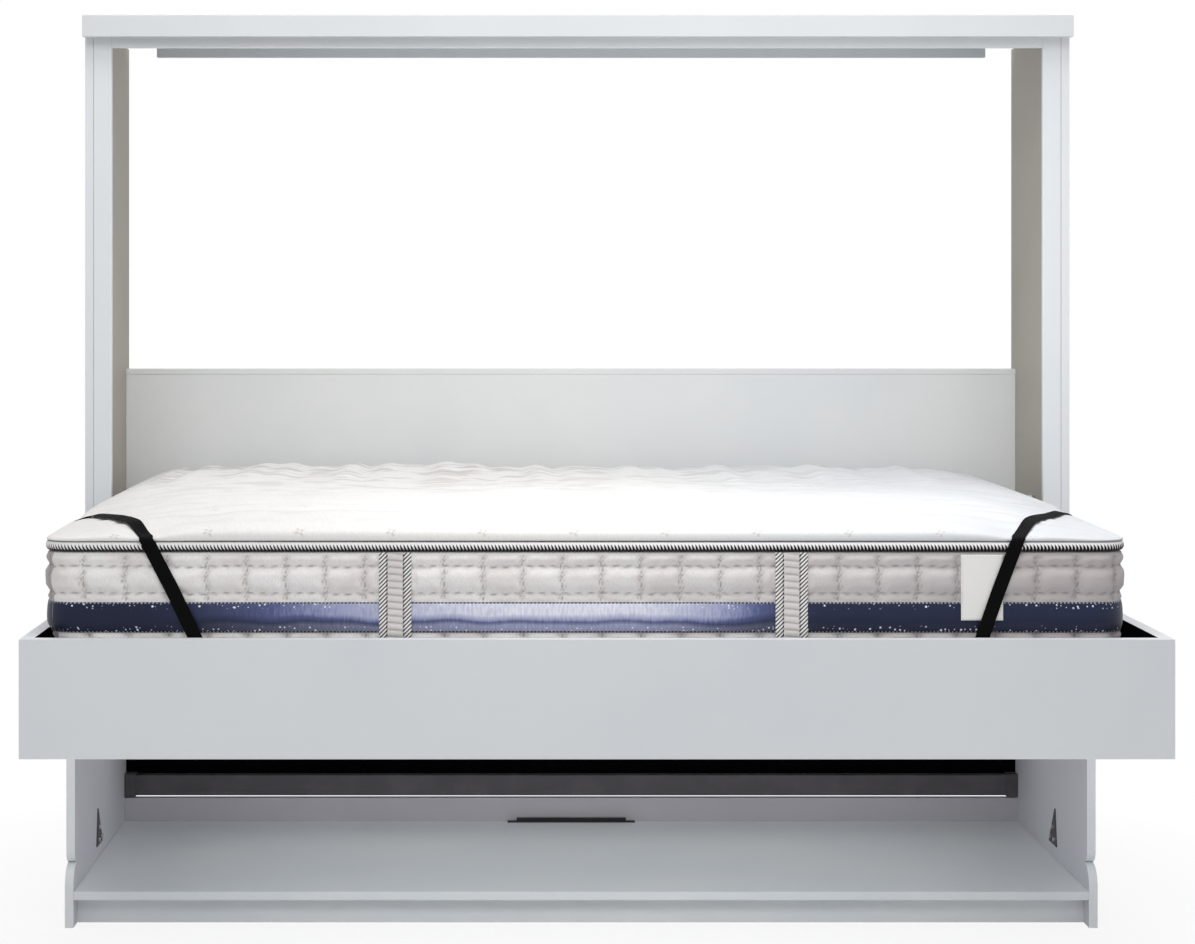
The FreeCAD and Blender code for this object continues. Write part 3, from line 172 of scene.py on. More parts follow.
def powder_coat(name, body, worn):
    """Polyester powder, oven cured on steel: a fine orange peel of about 1.5 mm, and its colour
    even but for paler patches of 80 mm where it was handled."""
    material, tree = new_material(name)
    peel = spots(tree, 1.5, detail=2.0)
    rubbed = add(tree, "MapRange", [spots(tree, 80), 0.45, 0.8, 0, 0.35])
    coat = add(tree, "Mix", {0: rubbed, 6: colour(body), 7: colour(worn)}, **BLEND)
    return finished(material, {"Base Color": coat, "Roughness": 0.5}, peel, 0.08)


def grained_skin(name, body, other, roughness, grit=0.8):
    """Moulded plastic or rubber with the spark-eroded grain of its mould, or enamel with the waves
    of its spray. A mould's grain is 0.2 mm; it is drawn four times as coarse so that it shows."""
    material, tree = new_material(name)
    grain = spots(tree, grit, detail=2.0)
    skin = add(tree, "Mix", {0: grain, 6: colour(body), 7: colour(other)}, **BLEND)
    return finished(material, {"Base Color": skin, "Roughness": roughness}, grain, 0.05)


def bright_metal(name, body, other, roughness, size=12, stretch=(1, 1, 1)):
    """Bare or plated metal: its colour and its shine clouded, or ringed where it was ground. The
    grinder's rings are finer than 0.1 mm and are drawn 0.6 mm apart so that they show."""
    material, tree = new_material(name)
    cloud = spots(tree, size, stretch, 4.0)
    metal = add(tree, "Mix", {0: cloud, 6: colour(body), 7: colour(other)}, **BLEND)
    shine = add(tree, "MapRange", [cloud, 0, 1, roughness * 0.75, roughness * 1.25])
    return finished(material, {"Base Color": metal, "Roughness": shine, "Metallic": 1.0})


# ---- Finishes of the soft goods
# Their pattern follows two marks kept on each mesh: "thread" is the run along the piece, the run
# across it, both in metres, and the turn of its strands, and "seam" is 1 where stitches pull the
# cloth in. On the border and the band the run starts at the middle of the front and grows to the
# right.

# one woven flower of the pillow top stands in each cell of this width and depth, in mm
FLOWER_CELL = (173, 150)
# both marks of the pillow top are shifted by this much, in mm, so that they stay above 0 and a
# flower falls where the photo has one
TOP_SHIFT = (1842.5, 75)


def new_cloth(name):
    """An empty material, its tree, the thread mark as a whole and the three parts of it."""
    material, tree = new_material(name)
    thread = add(tree, "Attribute", out="Vector", attribute_name="thread")
    return material, tree, thread, add(tree, "SeparateXYZ", [thread]).node.outputs


def border_knit():
    """Quilted knitted ticking: pale melange yarn in fine upright ribs, with painted shade in the
    creases at its seams, warmer in patches, and painted shade darkening it towards the right end of the
    front."""
    material, tree, thread, (run, _, _) = new_cloth("melange_quilted_knit")
    melange = spots(tree, 2.2, (1, 0.3, 1), 2.0, thread)
    flecks = add(tree, "MapRange", [melange, 0.3, 0.7, 0, 1])
    tint = spots(tree, 100, (1, 1.6, 1), 2.0, thread)
    warmth = add(tree, "MapRange", [tint, 0.42, 0.68, 0, 0.35])
    # painted shade: the knit grows darker towards the right end of the front
    painted_shade_rightwards = add(tree, "MapRange", [run, -0.1, 1.0, 0, 0.9])
    seam = add(tree, "Attribute", out="Fac", attribute_name="seam")
    # painted shade in the creases that the stitches pull in
    shade = add(tree, "Math", [seam, 0.7], operation="MULTIPLY")
    yarns = (flecks, "F3EFEC"), (warmth, "D8C9C2"), (painted_shade_rightwards, "BFB6B7")
    quilted = layers(tree, "FFFEFD", *yarns, (shade, "7C706A"))
    shader = {"Base Color": quilted, "Roughness": 0.9, "Sheen Weight": 0.15, "Specular IOR Level": 0.2}
    # the real ribs are 1 mm apart; they are drawn 2.4 mm apart so that they show
    ribs = add(tree, "Math", [stripes(tree, run, 2.4 * MM), melange], operation="ADD")
    return finished(material, shader, ribs, 0.25)


def top_knit():
    """White knitted ticking of the pillow top: bright, with painted shade in creases that grows
    stronger towards the wall, a cooler grey of painted shade to the right, and small woven flowers,
    clearest in the front row."""
    material, tree, thread, (run, across, _) = new_cloth("white_damask_knit")
    melange = spots(tree, 5, (1, 0.3, 1), 2.0, thread)
    creases = spots(tree, 22, (0.16, 1, 1), 3.0, thread)
    # painted shade in the creases, stronger towards the wall
    folds = add(tree, "MapRange", [creases, 0.49, 0.59, 0, 1])
    further = add(tree, "MapRange", [across, 0.35, 1.2, 0.02, 0.8])
    faint = add(tree, "Math", [folds, further], operation="MULTIPLY")
    # painted shade: a cooler grey towards the right
    # the run is 1.84 m at the middle of the mattress
    painted_shade_right = add(tree, "MapRange", [run, 1.7, 2.6, 0, 0.75])
    # flowers of four petals that reach 4 to 11 mm from their middle, round an eye of 2 to 4 mm
    wide, deep = (side * MM for side in FLOWER_CELL)
    cell = add(tree, "VectorMath", [thread, (wide, deep, 1)], operation="MODULO")
    offset = add(tree, "VectorMath", [cell, (wide / 2, deep / 2, 0)], operation="SUBTRACT")
    beside, above, _ = add(tree, "SeparateXYZ", [offset]).node.outputs
    turn = add(tree, "Math", [above, beside], operation="ARCTAN2")
    petal = add(tree, "Math", [stripes(tree, turn, TURN / 4), 7 * MM], operation="MULTIPLY")
    reach = add(tree, "Math", [petal, 4 * MM], operation="ADD")
    span = add(tree, "VectorMath", [offset], "Value", operation="LENGTH")
    within = add(tree, "Math", [reach, span], operation="SUBTRACT")
    inside = add(tree, "MapRange", [within, -0.001, 0.002, 0, 1])
    ring = add(tree, "MapRange", [span, 0.002, 0.004, 0, 1])
    worn = add(tree, "MapRange", [across, 0.15, 0.25, 0.5, 0.12])
    petals = add(tree, "Math", [inside, ring], operation="MULTIPLY")
    flower = add(tree, "Math", [petals, worn], operation="MULTIPLY")
    seam = add(tree, "Attribute", out="Fac", attribute_name="seam")
    damask = (melange, "F3F0EC"), (faint, "CFC9C3"), (painted_shade_right, "DDE1E6"), (flower, "C9C2BA")
    sewn = layers(tree, "FDFCFA", *damask, (seam, "6E707A"))
    shader = {"Base Color": sewn, "Roughness": 0.92, "Sheen Weight": 0.2, "Specular IOR Level": 0.2}
    # the real ribs are 1 mm apart; they are drawn 3 mm apart so that they show
    ribs = add(tree, "Math", [stripes(tree, run, 3 * MM), creases], operation="ADD")
    return finished(material, shader, ribs, 0.6)


def navy_satin():
    """Woven satin band: dark navy with a pale blue sheen painted over the middle of the front, fading
    to its ends, small pale dots along both edges and a dark stitched hem 2 mm wide."""
    material, tree, thread, (run, rise, _) = new_cloth("navy_satin_painted_sheen")
    floats = spots(tree, 4, (1, 0.2, 1), 2.0, thread)
    uneven = add(tree, "MapRange", [floats, 0.3, 0.7, 0.8, 1.1])
    # the painted sheen's edges sway by 6 mm; it lies along the middle of the front, fading to both
    # sides
    drift = spots(tree, 160, (1, 0.4, 1), 1.0, thread)
    sway = add(tree, "MapRange", [drift, 0.3, 0.7, -0.006, 0.006])
    bend = add(tree, "Math", [sway, rise], operation="ADD")
    left = add(tree, "MapRange", [run, -0.85, -0.08, 0.0, 1], interpolation_type="SMOOTHSTEP")
    right = add(tree, "MapRange", [run, 0.05, 0.45, 1, 0.02], interpolation_type="SMOOTHSTEP")
    middle = add(tree, "Math", [left, right], operation="MINIMUM")
    painted_sheen = add(tree, "Math", [middle, uneven], operation="MULTIPLY")
    # across the band the painted sheen covers the upper half, and a duller painted glow runs along its
    # foot
    upper = add(tree, "MapRange", [bend, -0.014, 0.006, 0.0, 1.0])
    foot = add(tree, "MapRange", [bend, -0.008, -0.015, 0.0, 0.85])
    shine = add(tree, "Math", [painted_sheen, upper], operation="MULTIPLY")
    painted_glow = add(tree, "Math", [painted_sheen, foot], operation="MULTIPLY")
    blue = add(tree, "MapRange", [shine, 0.0, 0.45, 0, 1])
    pale = add(tree, "MapRange", [shine, 0.25, 1.05, 0, 1])
    # dots up to 4 mm wide, at most one to each 9.5 mm, near both edges of the band
    centre = add(tree, "Math", [rise], operation="ABSOLUTE")
    cells = {"Vector": thread, "Scale": 1 / (9.5 * MM)}
    distance = add(tree, "TexVoronoi", cells, voronoi_dimensions="2D")
    chances = add(tree, "TexVoronoi", cells, 1, voronoi_dimensions="2D")
    size = add(tree, "MapRange", [add(tree, "SeparateXYZ", [chances]), 0, 1, -0.10, 0.22])
    within = add(tree, "Math", [size, distance], operation="SUBTRACT")
    dot = add(tree, "MapRange", [within, -0.04, 0.03, 0, 1])
    near_edge = add(tree, "MapRange", [centre, 0.0150, 0.0185, 0, 1])
    dots = add(tree, "Math", [dot, near_edge], operation="MULTIPLY")
    # the blue, pale and glow layers are painted sheen; the dots are the satin's own pattern
    sheen_and_dots = (blue, "757FB4"), (pale, "F4F5FF"), (painted_glow, "B9BCE0"), (dots, "F2F4FF")
    starry = layers(tree, "0C1633", *sheen_and_dots)
    # the hem, with pale stitches 7 mm apart
    stitches = add(tree, "MapRange", [stripes(tree, run, 7 * MM), 0.5, 0.8, 0, 0.7])
    thread_end = add(tree, "Mix", {0: stitches, 6: colour("030408"), 7: colour("C9CDDA")}, **BLEND)
    hem = add(tree, "MapRange", [centre, 0.0256, 0.0262, 0, 1])
    hemmed = add(tree, "Mix", {0: hem, 6: starry, 7: thread_end}, **BLEND)
    shader = {"Base Color": hemmed, "Roughness": 0.45, "Sheen Weight": 0.1, "Specular IOR Level": 0.25}
    # the real weave is finer than 0.3 mm; it is drawn 2.2 mm apart so that it shows
    return finished(material, shader, stripes(tree, run, 2.2 * MM))


def twisted_yarn(name, light, dark, share):
    """Twisted or braided cotton: alternate light and dark strands with a soft fuzz. Where the cord
    lies on its side, the light strands cover its upper part and the dark ones its foot: painted shade
    along the underside."""
    material, tree, _, (_, painted_shade_height, turn) = new_cloth(name)
    painted_shade_height = add(tree, "Math", [painted_shade_height], operation="SINE")
    strands = stripes(tree, turn, 1.0)
    # painted shade: the dark strands take over the cord's underside
    upper = add(tree, "Math", [painted_shade_height, 0.9, strands], operation="MULTIPLY_ADD")
    lay = add(tree, "MapRange", [upper, share - 0.12, share + 0.12, 0, 1])
    fuzz = spots(tree, 1.5, detail=2.0)
    pale = add(tree, "Mix", {0: fuzz, 6: colour(light), 7: colour("F0EDEB")}, **BLEND)
    yarn = add(tree, "Mix", {0: lay, 6: colour(dark), 7: pale}, **BLEND)
    shader = {"Base Color": yarn, "Roughness": 0.85, "Sheen Weight": 0.1, "Specular IOR Level": 0.2}
    return finished(material, shader, fuzz, 0.3)


def webbing():
    """Woven polyester webbing: black, with slanting ribs. The real ones are 1.2 mm apart; they are
    drawn 2.5 mm apart so that they show."""
    material, tree, _, (run, across, _) = new_cloth("black_polyester_webbing")
    across = add(tree, "Math", [across], operation="ABSOLUTE")
    slant = add(tree, "Math", [run, across], operation="ADD")
    ribs = stripes(tree, slant, 2.5 * MM)
    weave = add(tree, "Mix", {0: ribs, 6: colour("010101"), 7: colour("060607")}, **BLEND)
    shader = {"Base Color": weave, "Roughness": 0.85, "Specular IOR Level": 0.1}
    return finished(material, shader, ribs, 0.4)


def label_cloth():
    """Woven satin label: warm white, smooth, its hem stitched 3 mm in from the edge. The real
    weave is finer than 0.3 mm; it is drawn 1.6 mm apart so that it shows."""
    material, tree, _, (run, _, _) = new_cloth("white_satin_label")
    weave = stripes(tree, run, 1.6 * MM)
    satin = add(tree, "Mix", {0: weave, 6: colour("F6F4EF"), 7: colour("FDFCF9")}, **BLEND)
    seam = add(tree, "Attribute", out="Fac", attribute_name="seam")
    shade = add(tree, "Math", [seam, 0.5], operation="MULTIPLY")
    hemmed = add(tree, "Mix", {0: shade, 6: satin, 7: colour("A9A59E")}, **BLEND)
    return finished(material, {"Base Color": hemmed, "Roughness": 0.5, "Sheen Weight": 0.1}, weave)


FINISHES = {
    "white_laminate": laminate("white_satin_laminate", "E9ECEE", "E5E9EC", 0.42),
    # painted light: the headboard's laminate is whiter than the other boards' to make up for the shade
    # under the top
    "headboard_laminate": laminate("pale_grey_laminate", "F6F8F7", "F0F3F4", 0.42),
    "grey_laminate": laminate("base_laminate", "E4E7E9", "DFE3E6", 0.45),
    # painted shadow: the black panel under the bed stands for the deep shade there
    "black_panel": hardboard("black_hardboard_painted_shadow", "000000", "020203"),
    "bare_wood": planed_pine("planed_pine", "X"),
    "black_steel": powder_coat("charcoal_powder_coat", "4A464A", "6A666A"),
    "black_plastic": grained_skin("black_moulded_abs", "060607", "0B0B0C", 0.6),
    "black_bristle": grained_skin("black_nylon_bristle", "08080A", "141416", 0.6),
    "black_rubber": grained_skin("black_rubber", "161617", "202021", 0.8, 1.5),
    "zinc_steel": bright_metal("zinc_plated_steel", "B9BCC1", "D2D4D8", 0.35),
    "zinc_screws": bright_metal("zinc_plated_screws", "C3C4C6", "DADBDD", 0.28),
    "bush_polymer": grained_skin("natural_acetal", "DAD5C4", "E4E0D1", 0.4),
    "black_tube": grained_skin("black_enamelled_tube", "0C0C0E", "101013", 0.25, 4),
    "chrome_rod": bright_metal("ground_hard_chrome", "D6D8DC", "C4C6CA", 0.1, 0.6, (0.1, 0.1, 1)),
    "quilted_knit": border_knit(),
    "twisted_cord": twisted_yarn("black_and_white_piping", "FFFEFD", "030304", 0.40),
    "braid": twisted_yarn("braided_handle_tape", "FFFDFB", "453E40", 0.38),
    "label_cloth": label_cloth(),
    "spring_steel": bright_metal("drawn_spring_steel", "7E7F82", "98999C", 0.4),
    "black_webbing": webbing(),
}
EDGE_CORD = twisted_yarn("grey_edge_cord", "A8A2A0", "2E2B2E", 0.5)
TOP_KNIT = top_knit()
SATIN = navy_satin()
PINE_ALONG_DEPTH = planed_pine("planed_pine_ledges", "Y")
# painted shade for the faces of the side panels and base cheeks that look into the bed
INNER_FACE = inner_laminate()
# painted shadow: the inner faces of the side rails are drawn black for the deep shade inside the bed
# box
RAIL_INSIDE_PAINTED_SHADOW = hardboard("rail_inside_painted_shadow", "020202", "060607")

# ---- Camera
# Level and square to the wall, its frame moved down and to the right. Its place and its lens are
# worked out from how the rails shrink towards the wall in the photo.
camera = bpy.data.objects.new("camera", bpy.data.cameras.new("camera"))
bpy.context.scene.collection.objects.link(camera)
camera.data.sensor_width = 36
camera.data.lens = 75.31
camera.data.shift_x = 0.0841
camera.data.shift_y = -0.1423
camera.location = (-0.186, -5.5025, 1.382)
camera.rotation_euler = (math.radians(90), 0, 0)
camera.data.clip_end = 60
bpy.context.scene.camera = camera


# ---- Mesh tools
def surface_piece(name, points, faces, finish, body="bed"):
    """A smooth-shaded piece from its points and faces, riding on a body."""
    mesh = bpy.data.meshes.new(name)
    mesh.from_pydata(np.asarray(points, float).tolist(), [], [list(map(int, f)) for f in faces])
    mesh.validate()
    mesh.polygons.foreach_set("use_smooth", [True] * len(mesh.polygons))
    mesh.materials.append(finish)
    mesh.update()
    piece = bpy.data.objects.new(name, mesh)
    bpy.context.scene.collection.objects.link(piece)
    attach(piece, body)
    return piece


def mark(piece, name, values):
    """Keeps a value or a triple on each point of a mesh."""
    values = np.asarray(values, np.float32)
    kind = "FLOAT" if values.ndim == 1 else "FLOAT_VECTOR"
    made = piece.data.attributes.new(name, kind, "POINT")
    made.data.foreach_set("value" if values.ndim == 1 else "vector", values.ravel())


def sheet_faces(rows, columns, closed=False, tube=False):
    """Four-sided faces between rows of points. A closed sheet joins each row's two ends, and a tube
    also joins its last row to its first."""
    grid = np.arange(rows * columns).reshape(rows, columns)
    if tube:
        grid = np.vstack([grid, grid[:1]])
    if closed or tube:
        grid = np.hstack([grid, grid[:, :1]])
    faces = np.stack([grid[:-1, :-1], grid[:-1, 1:], grid[1:, 1:], grid[1:, :-1]], axis=-1)
    return faces.reshape(-1, 4).tolist()


def closed_band(rows, columns):
    """Faces of a band whose rows are closed rings, with both its ends shut."""
    last = (rows - 1) * columns
    ends = [list(range(columns))[::-1], list(range(last, last + columns))]
    return sheet_faces(rows, columns, closed=True) + ends


def thicken(piece, thickness, side):
    """Gives a sheet its thickness in mm, inwards with a side of -1 and outwards with 1."""
    cloth = piece.modifiers.new("cloth thickness", "SOLIDIFY")
    cloth.thickness = thickness * MM
    cloth.offset = side


def ease(value, start, end):
    """A smooth step from 0 to 1."""
    t = np.clip((np.asarray(value, float) - start) / (end - start), 0, 1)
    return t * t * (3 - 2 * t)


# ---- Mattress
LOW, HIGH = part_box("mattress_cover")
MIDDLE = (LOW + HIGH) / 2
HALF_X = (HIGH.x - LOW.x) / 2 / MM
HALF_Y = (HIGH.y - LOW.y) / 2 / MM
SLAT_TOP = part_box("bed_slats")[1].z / MM

# Lengths of the mattress, its trims and its straps are in mm. A rise counts from the slats, and X
# from the mattress's middle.
CORNER = 60.0  # radius of the upright corners
SEAM, CROWN, LOW_SEAM = 269.0, 72.0, 9.0  # upper seam, pillow above it, lower seam
BEAD = 6.5  # radius of the piping
# the real strands are about 5 mm apart; they are drawn further apart so that they show
STRAND_PITCH = 6.6
BRAID_PITCH = 7.8
BAND_LOW, BAND_HIGH = 112.0, 167.0  # lower and upper edge of the satin band
HANDLE_PLACES = (-362.0, 382.0)
GIRTH = 4 * (HALF_X + HALF_Y) - (8 - TURN) * CORNER  # once round the outline
QUILT_CELL = GIRTH / 94  # one upright seam to the next
QUILT_ROWS = (36, 90, 184, 235)  # rises of the level seams
RIM_STEPS = (214, 166)  # steps along a long and a short side, for the band and the piping

# how far from the corner each strap crosses the end's edge and the front edge, and its slant there
STRAP_REACHES = {"left_strap": (375.0, 190.0, 0.475), "right_strap": (510.0, 210.0, 0.36)}
# at the left and the right: how far the end bulges, how far in from the front the strap presses
# the pillow, and the share by which the front corner has slumped
END_BULGE = (11.0, 2.0)
STRAP_PRESS = (85.0, 180.0)
CORNER_SLUMP = (0.34, 0.50)
# the share of its height that the pillow keeps, this far in from a corner
CORNER_HELD = ([0, 40, 170, 350], [0.40, 0.55, 0.78, 1.0])

# inset from the outline and rise above the slats, in mm, from the lower seam to the upper one
BORDER = [(12.8, 13.9), (4.5, 17.5), (2.5, 22), (0.6, 38), (0, 64), (1.6, 92), (5, 112), (4.4, 116),
          (3.4, 139), (4.4, 162), (5, 167), (1.6, 185), (0, 215), (0.6, 240), (2.5, 256),
          (4.5, 260.5), (12.8, 264.1)]
# the pillow, from the upper seam past the seam of its sewn edge, over its rounding to the flat
PILLOW = [(12.9, 277), (11.5, 280), (8, 282.4), (4.5, 282.7), (2.4, 283), (1.2, 284.2), (0.6, 287),
          (0.5, 292), (1.2, 296), (2.6, 299), (4.6, 301), (8, 303.4), (12, 305), (18, 307.6),
          (26, 310.8), (37, 314.6), (50, 318), (78, 324.2), (110, 329.5), (180, 336.5), (260, 341)]
ROPE_TOP, EDGE_SEAM = 282.0, 282.8
# the underside, from the lower seam to the slats
UNDERSIDE = [(12.8, 4.1), (19.8, 0.3)]


def outline(across, along, inset):
    """Points of the mattress's outline, drawn in by an inset, for places on the edge of a square
    of half side 1."""
    half_x, half_y = HALF_X - inset, HALF_Y - inset
    radius = np.maximum(CORNER - inset, 30.0)
    x, y = across * half_x, along * half_y
    p = np.clip((np.abs(x) - (half_x - radius)) / radius, 0, 1)
    q = np.clip((np.abs(y) - (half_y - radius)) / radius, 0, 1)
    bend = (p > 0) & (q > 0)
    round_p, round_q = p * np.sqrt(1 - q * q / 2), q * np.sqrt(1 - p * p / 2)
    x = np.where(bend, np.sign(x) * (half_x - radius + radius * round_p), x)
    y = np.where(bend, np.sign(y) * (half_y - radius + radius * round_q), y)
    return x, y


def rim_places(finer, steps=RIM_STEPS):
    """Places round the edge of a square, from its front left corner, with each step made finer."""
    n_x, n_y = (count * finer for count in steps)
    a = np.linspace(-1, 1, n_x, endpoint=False)
    b = np.linspace(-1, 1, n_y, endpoint=False)
    across = np.concatenate([a, np.ones(n_y), -a, -np.ones(n_y)])
    along = np.concatenate([-np.ones(n_x), b, np.ones(n_x), -b])
    return across, along


def run_round(across, along):
    """Length run round the outline from the middle of the front, in mm."""
    x, y = outline(across, along, 0.0)
    steps = np.hypot(np.roll(x, -1) - x, np.roll(y, -1) - y)
    run = np.concatenate([[0], np.cumsum(steps)[:-1]])
    return run - np.interp(0, x[: len(x) // 4], run[: len(x) // 4])


def level_ring(rim, drawn_in, rise):
    """Points round the mattress at one rise, or at one for each, drawn in from its outline."""
    x, y = outline(*rim, drawn_in)
    return np.stack([x, y, np.broadcast_to(rise, x.shape)], -1)


def level_marks(run, across):
    """Thread marks of a ring that lies this far across its cloth."""
    return np.stack([run, np.full_like(run, across), 0 * run], -1) * MM


def on_mattress(points):
    """Mattress millimetres, from its middle and the slats, as places in the frame. Above the rails
    the ends bulge. The pillow is fuller at its left, and low where the straps hold its corners."""
    x, y, rise = np.moveaxis(np.asarray(points, float), -1, 0)
    from_end, from_front = HALF_X - np.abs(x), HALF_Y + y

    def at_side(left_and_right):
        return np.where(x < 0, *left_and_right)

    # the bulge swells from the rails' top edge up and is nearly gone above the piping
    bulge = at_side(END_BULGE) * ease(-from_end, -300, 0) * ease(rise, 96, 130)
    bulge = bulge * (1 - 0.9 * ease(rise, ROPE_TOP, ROPE_TOP + 36))
    # the straps press a dent of about their own width on each side of them
    held = np.interp(np.maximum(from_end, from_front), *CORNER_HELD)
    end_reach, front_reach, _ = (at_side(pair) for pair in zip(*STRAP_REACHES.values()))
    front_fade = 1 - ease(from_front, 15, at_side(STRAP_PRESS))
    at_front = np.exp(-(((from_end - front_reach) / 48) ** 2)) * front_fade
    at_end = np.exp(-(((from_front - end_reach) / 60) ** 2)) * (1 - ease(from_end, 15, 85))
    held = held * (1 - 0.52 * np.maximum(at_front, at_end))
    slump = at_side(CORNER_SLUMP) * (1 - ease(from_end, 30, 240)) * (1 - ease(from_front, 300, 650))
    held = held * (1 - slump)
    fuller_left = 1 - 0.10 * x / HALF_X
    pillow = np.clip(rise - ROPE_TOP, 0, None)
    rise = rise + pillow * (held * fuller_left - 1)
    x = x + np.sign(x) * bulge
    return np.stack([MIDDLE.x + x * MM, MIDDLE.y + y * MM, (SLAT_TOP + rise) * MM], -1)


def joined_piece(name, parts, finish):
    """Parts on the mattress as one piece. Each is its points, its thread marks and its faces."""
    points, marks, faces = [], [], []
    start = 0
    for part_points, part_marks, part_faces in parts:
        faces += [[start + number for number in face] for face in part_faces]
        points.append(np.reshape(part_points, (-1, 3)))
        marks.append(np.reshape(part_marks, (-1, 3)))
        start += len(points[-1])
    piece = surface_piece(name, on_mattress(np.concatenate(points)), faces, finish)
    mark(piece, "thread", np.concatenate(marks))
    return piece


def quilt_depth(run, rise, covered):
    """How far the stitches pull the border in, in mm, and how near a seam each point is. Where a
    handle or the label covers it, the border lies flat."""
    # upright seams, a little wavy, and how far beside one a point is
    shift = 25.5 + 1.6 * np.sin(TURN * rise / 31)
    beside = (run - shift + QUILT_CELL / 2) % QUILT_CELL - QUILT_CELL / 2
    # level seams, and how far above one, or from a piped or sewn edge, a point is
    waver = 0.9 * np.sin(TURN * run / (QUILT_CELL / 3))
    waver = waver + 0.9 * np.sin(TURN * run / (QUILT_CELL * 1.9))
    above = np.min([np.abs(rise - level - waver) for level in QUILT_ROWS], axis=0)
    edge = np.min([np.abs(rise - level) for level in (16, BAND_LOW, BAND_HIGH, 262)], axis=0)
    gap = np.minimum(above, edge + 3)
    groove = np.exp(-((beside / 5.0) ** 2))
    stitch = np.exp(-((gap / 1.8) ** 2))
    puff = (1 - 0.75 * np.exp(-((beside / 11) ** 2))) * (1 - 0.85 * np.exp(-((gap / 10) ** 2)))
    # the upright seams are chains of slanting loops, 13.5 mm each
    dashes = 0.5 + 0.5 * np.sin(TURN * (rise - 2.2 * beside) / 13.5)
    twist = groove * dashes
    depth = 6.0 - 9.0 * puff + 1.4 * stitch + 1.6 * groove - 3.4 * twist
    # flat at both piped seams and behind the satin band
    inside = ease(rise, 15, 26) * ease(-rise, -262, -250)
    band = 1 - ease(rise, BAND_LOW - 6, BAND_LOW) * ease(-rise, -BAND_HIGH - 6, -BAND_HIGH)
    broken = 0.55 + 0.45 * np.sin(TURN * run / 23.0)
    seam = np.maximum(groove * np.clip(1 - 1.9 * dashes, 0, 1) * 0.9, stitch * broken) * inside * band
    lowest = -3.0 + 3.5 * covered
    return np.maximum(np.minimum(depth, 8), lowest) * inside * band, seam


def top_height(x, y, inset, rise):
    """Rise added to the pillow by its quilting and by its filling, in mm, and the seams."""
    # wavy seams, each a row from the next and mirrored in it
    wide, deep = FLOWER_CELL
    row = deep / 2
    wave = 9.0 * np.sin(TURN * x / wide) + 4.0 * np.sin(TURN * x / 410 + 1)
    ridge = np.abs(((y + wave + row / 2) % deep) - row)
    other = np.abs(((y - wave + 1.5 * row) % deep) - row)
    near = np.minimum(ridge, other)
    stitch = np.exp(-((near / 6.0) ** 2))
    puff = 1 - np.exp(-((near / 20.0) ** 2))
    on_top = ease(inset, 14, 90)
    # the filling: slow swells everywhere, and lumps along the rear half
    swell = 3.2 * np.sin(x / 148 + 0.8) * np.cos(y / 190) + 1.6 * np.sin(x / 61 + y / 83)
    lumps = 3.4 * np.sin(x / 23 + 1.5 * np.sin(x / 71)) + 2.0 * np.sin(x / 11.5 + 2)
    swell += lumps * ease(y, -150, 250)
    sewn = np.where(inset < 6, np.exp(-(((rise - EDGE_SEAM) / 1.0) ** 2)), 0)
    return on_top * (swell - 6.0 * (1 - puff)), np.maximum(0.12 * stitch * on_top, sewn)


def pillow_top():
    """The pillow as square rings from its rim to a line along its middle: points, thread marks and
    seams, and the number of each point as a grid."""
    # rings as close as the curve's points over the rounding, and 9.5 mm apart on the flat
    curve = np.array(PILLOW + [(HALF_Y - 1, PILLOW[-1][1])])
    arc = np.concatenate([[0], np.cumsum(np.hypot(*np.diff(curve, axis=0).T))])
    flat_rings = int((arc[-1] - arc[-4]) / 9.5)
    stops = np.concatenate([arc[:-4], np.linspace(arc[-4], arc[-1], flat_rings)])
    steps_y = 2 * (len(stops) - 1)
    steps_x = steps_y + 2 * int(round((HALF_X - HALF_Y) / 9.8))
    i, j = np.meshgrid(np.arange(steps_x + 1), np.arange(steps_y + 1), indexing="ij")
    ring = np.minimum(np.minimum(i, steps_x - i), np.minimum(j, steps_y - j))
    inset = np.interp(stops[ring], arc, curve[:, 0])
    rise = np.interp(stops[ring], arc, curve[:, 1])
    half_i, half_j = np.maximum(steps_x / 2 - ring, 1), np.maximum(steps_y / 2 - ring, 0.5)
    across, along = (i - steps_x / 2) / half_i, (j - steps_y / 2) / half_j
    x, y = outline(across, along, inset)
    lift, seam = top_height(x, y, inset, rise)
    points = np.stack([x, y, rise + lift], axis=-1).reshape(-1, 3)
    # the marks lie on the cloth as if it were unrolled over the pillow's rounding; the first row of
    # flowers stands 32 mm behind the rim
    unrolled = arc[-1] - curve[-1, 0]
    over_x, over_y = outline(across, along, stops[ring] - unrolled)
    first_row = HALF_Y + unrolled - 32
    shift_x, shift_y = TOP_SHIFT
    marks = np.stack([over_x + shift_x, over_y + first_row + shift_y, 0 * x], -1).reshape(-1, 3) * MM
    return points, marks, seam.ravel(), np.arange(len(points)).reshape(steps_x + 1, steps_y + 1)


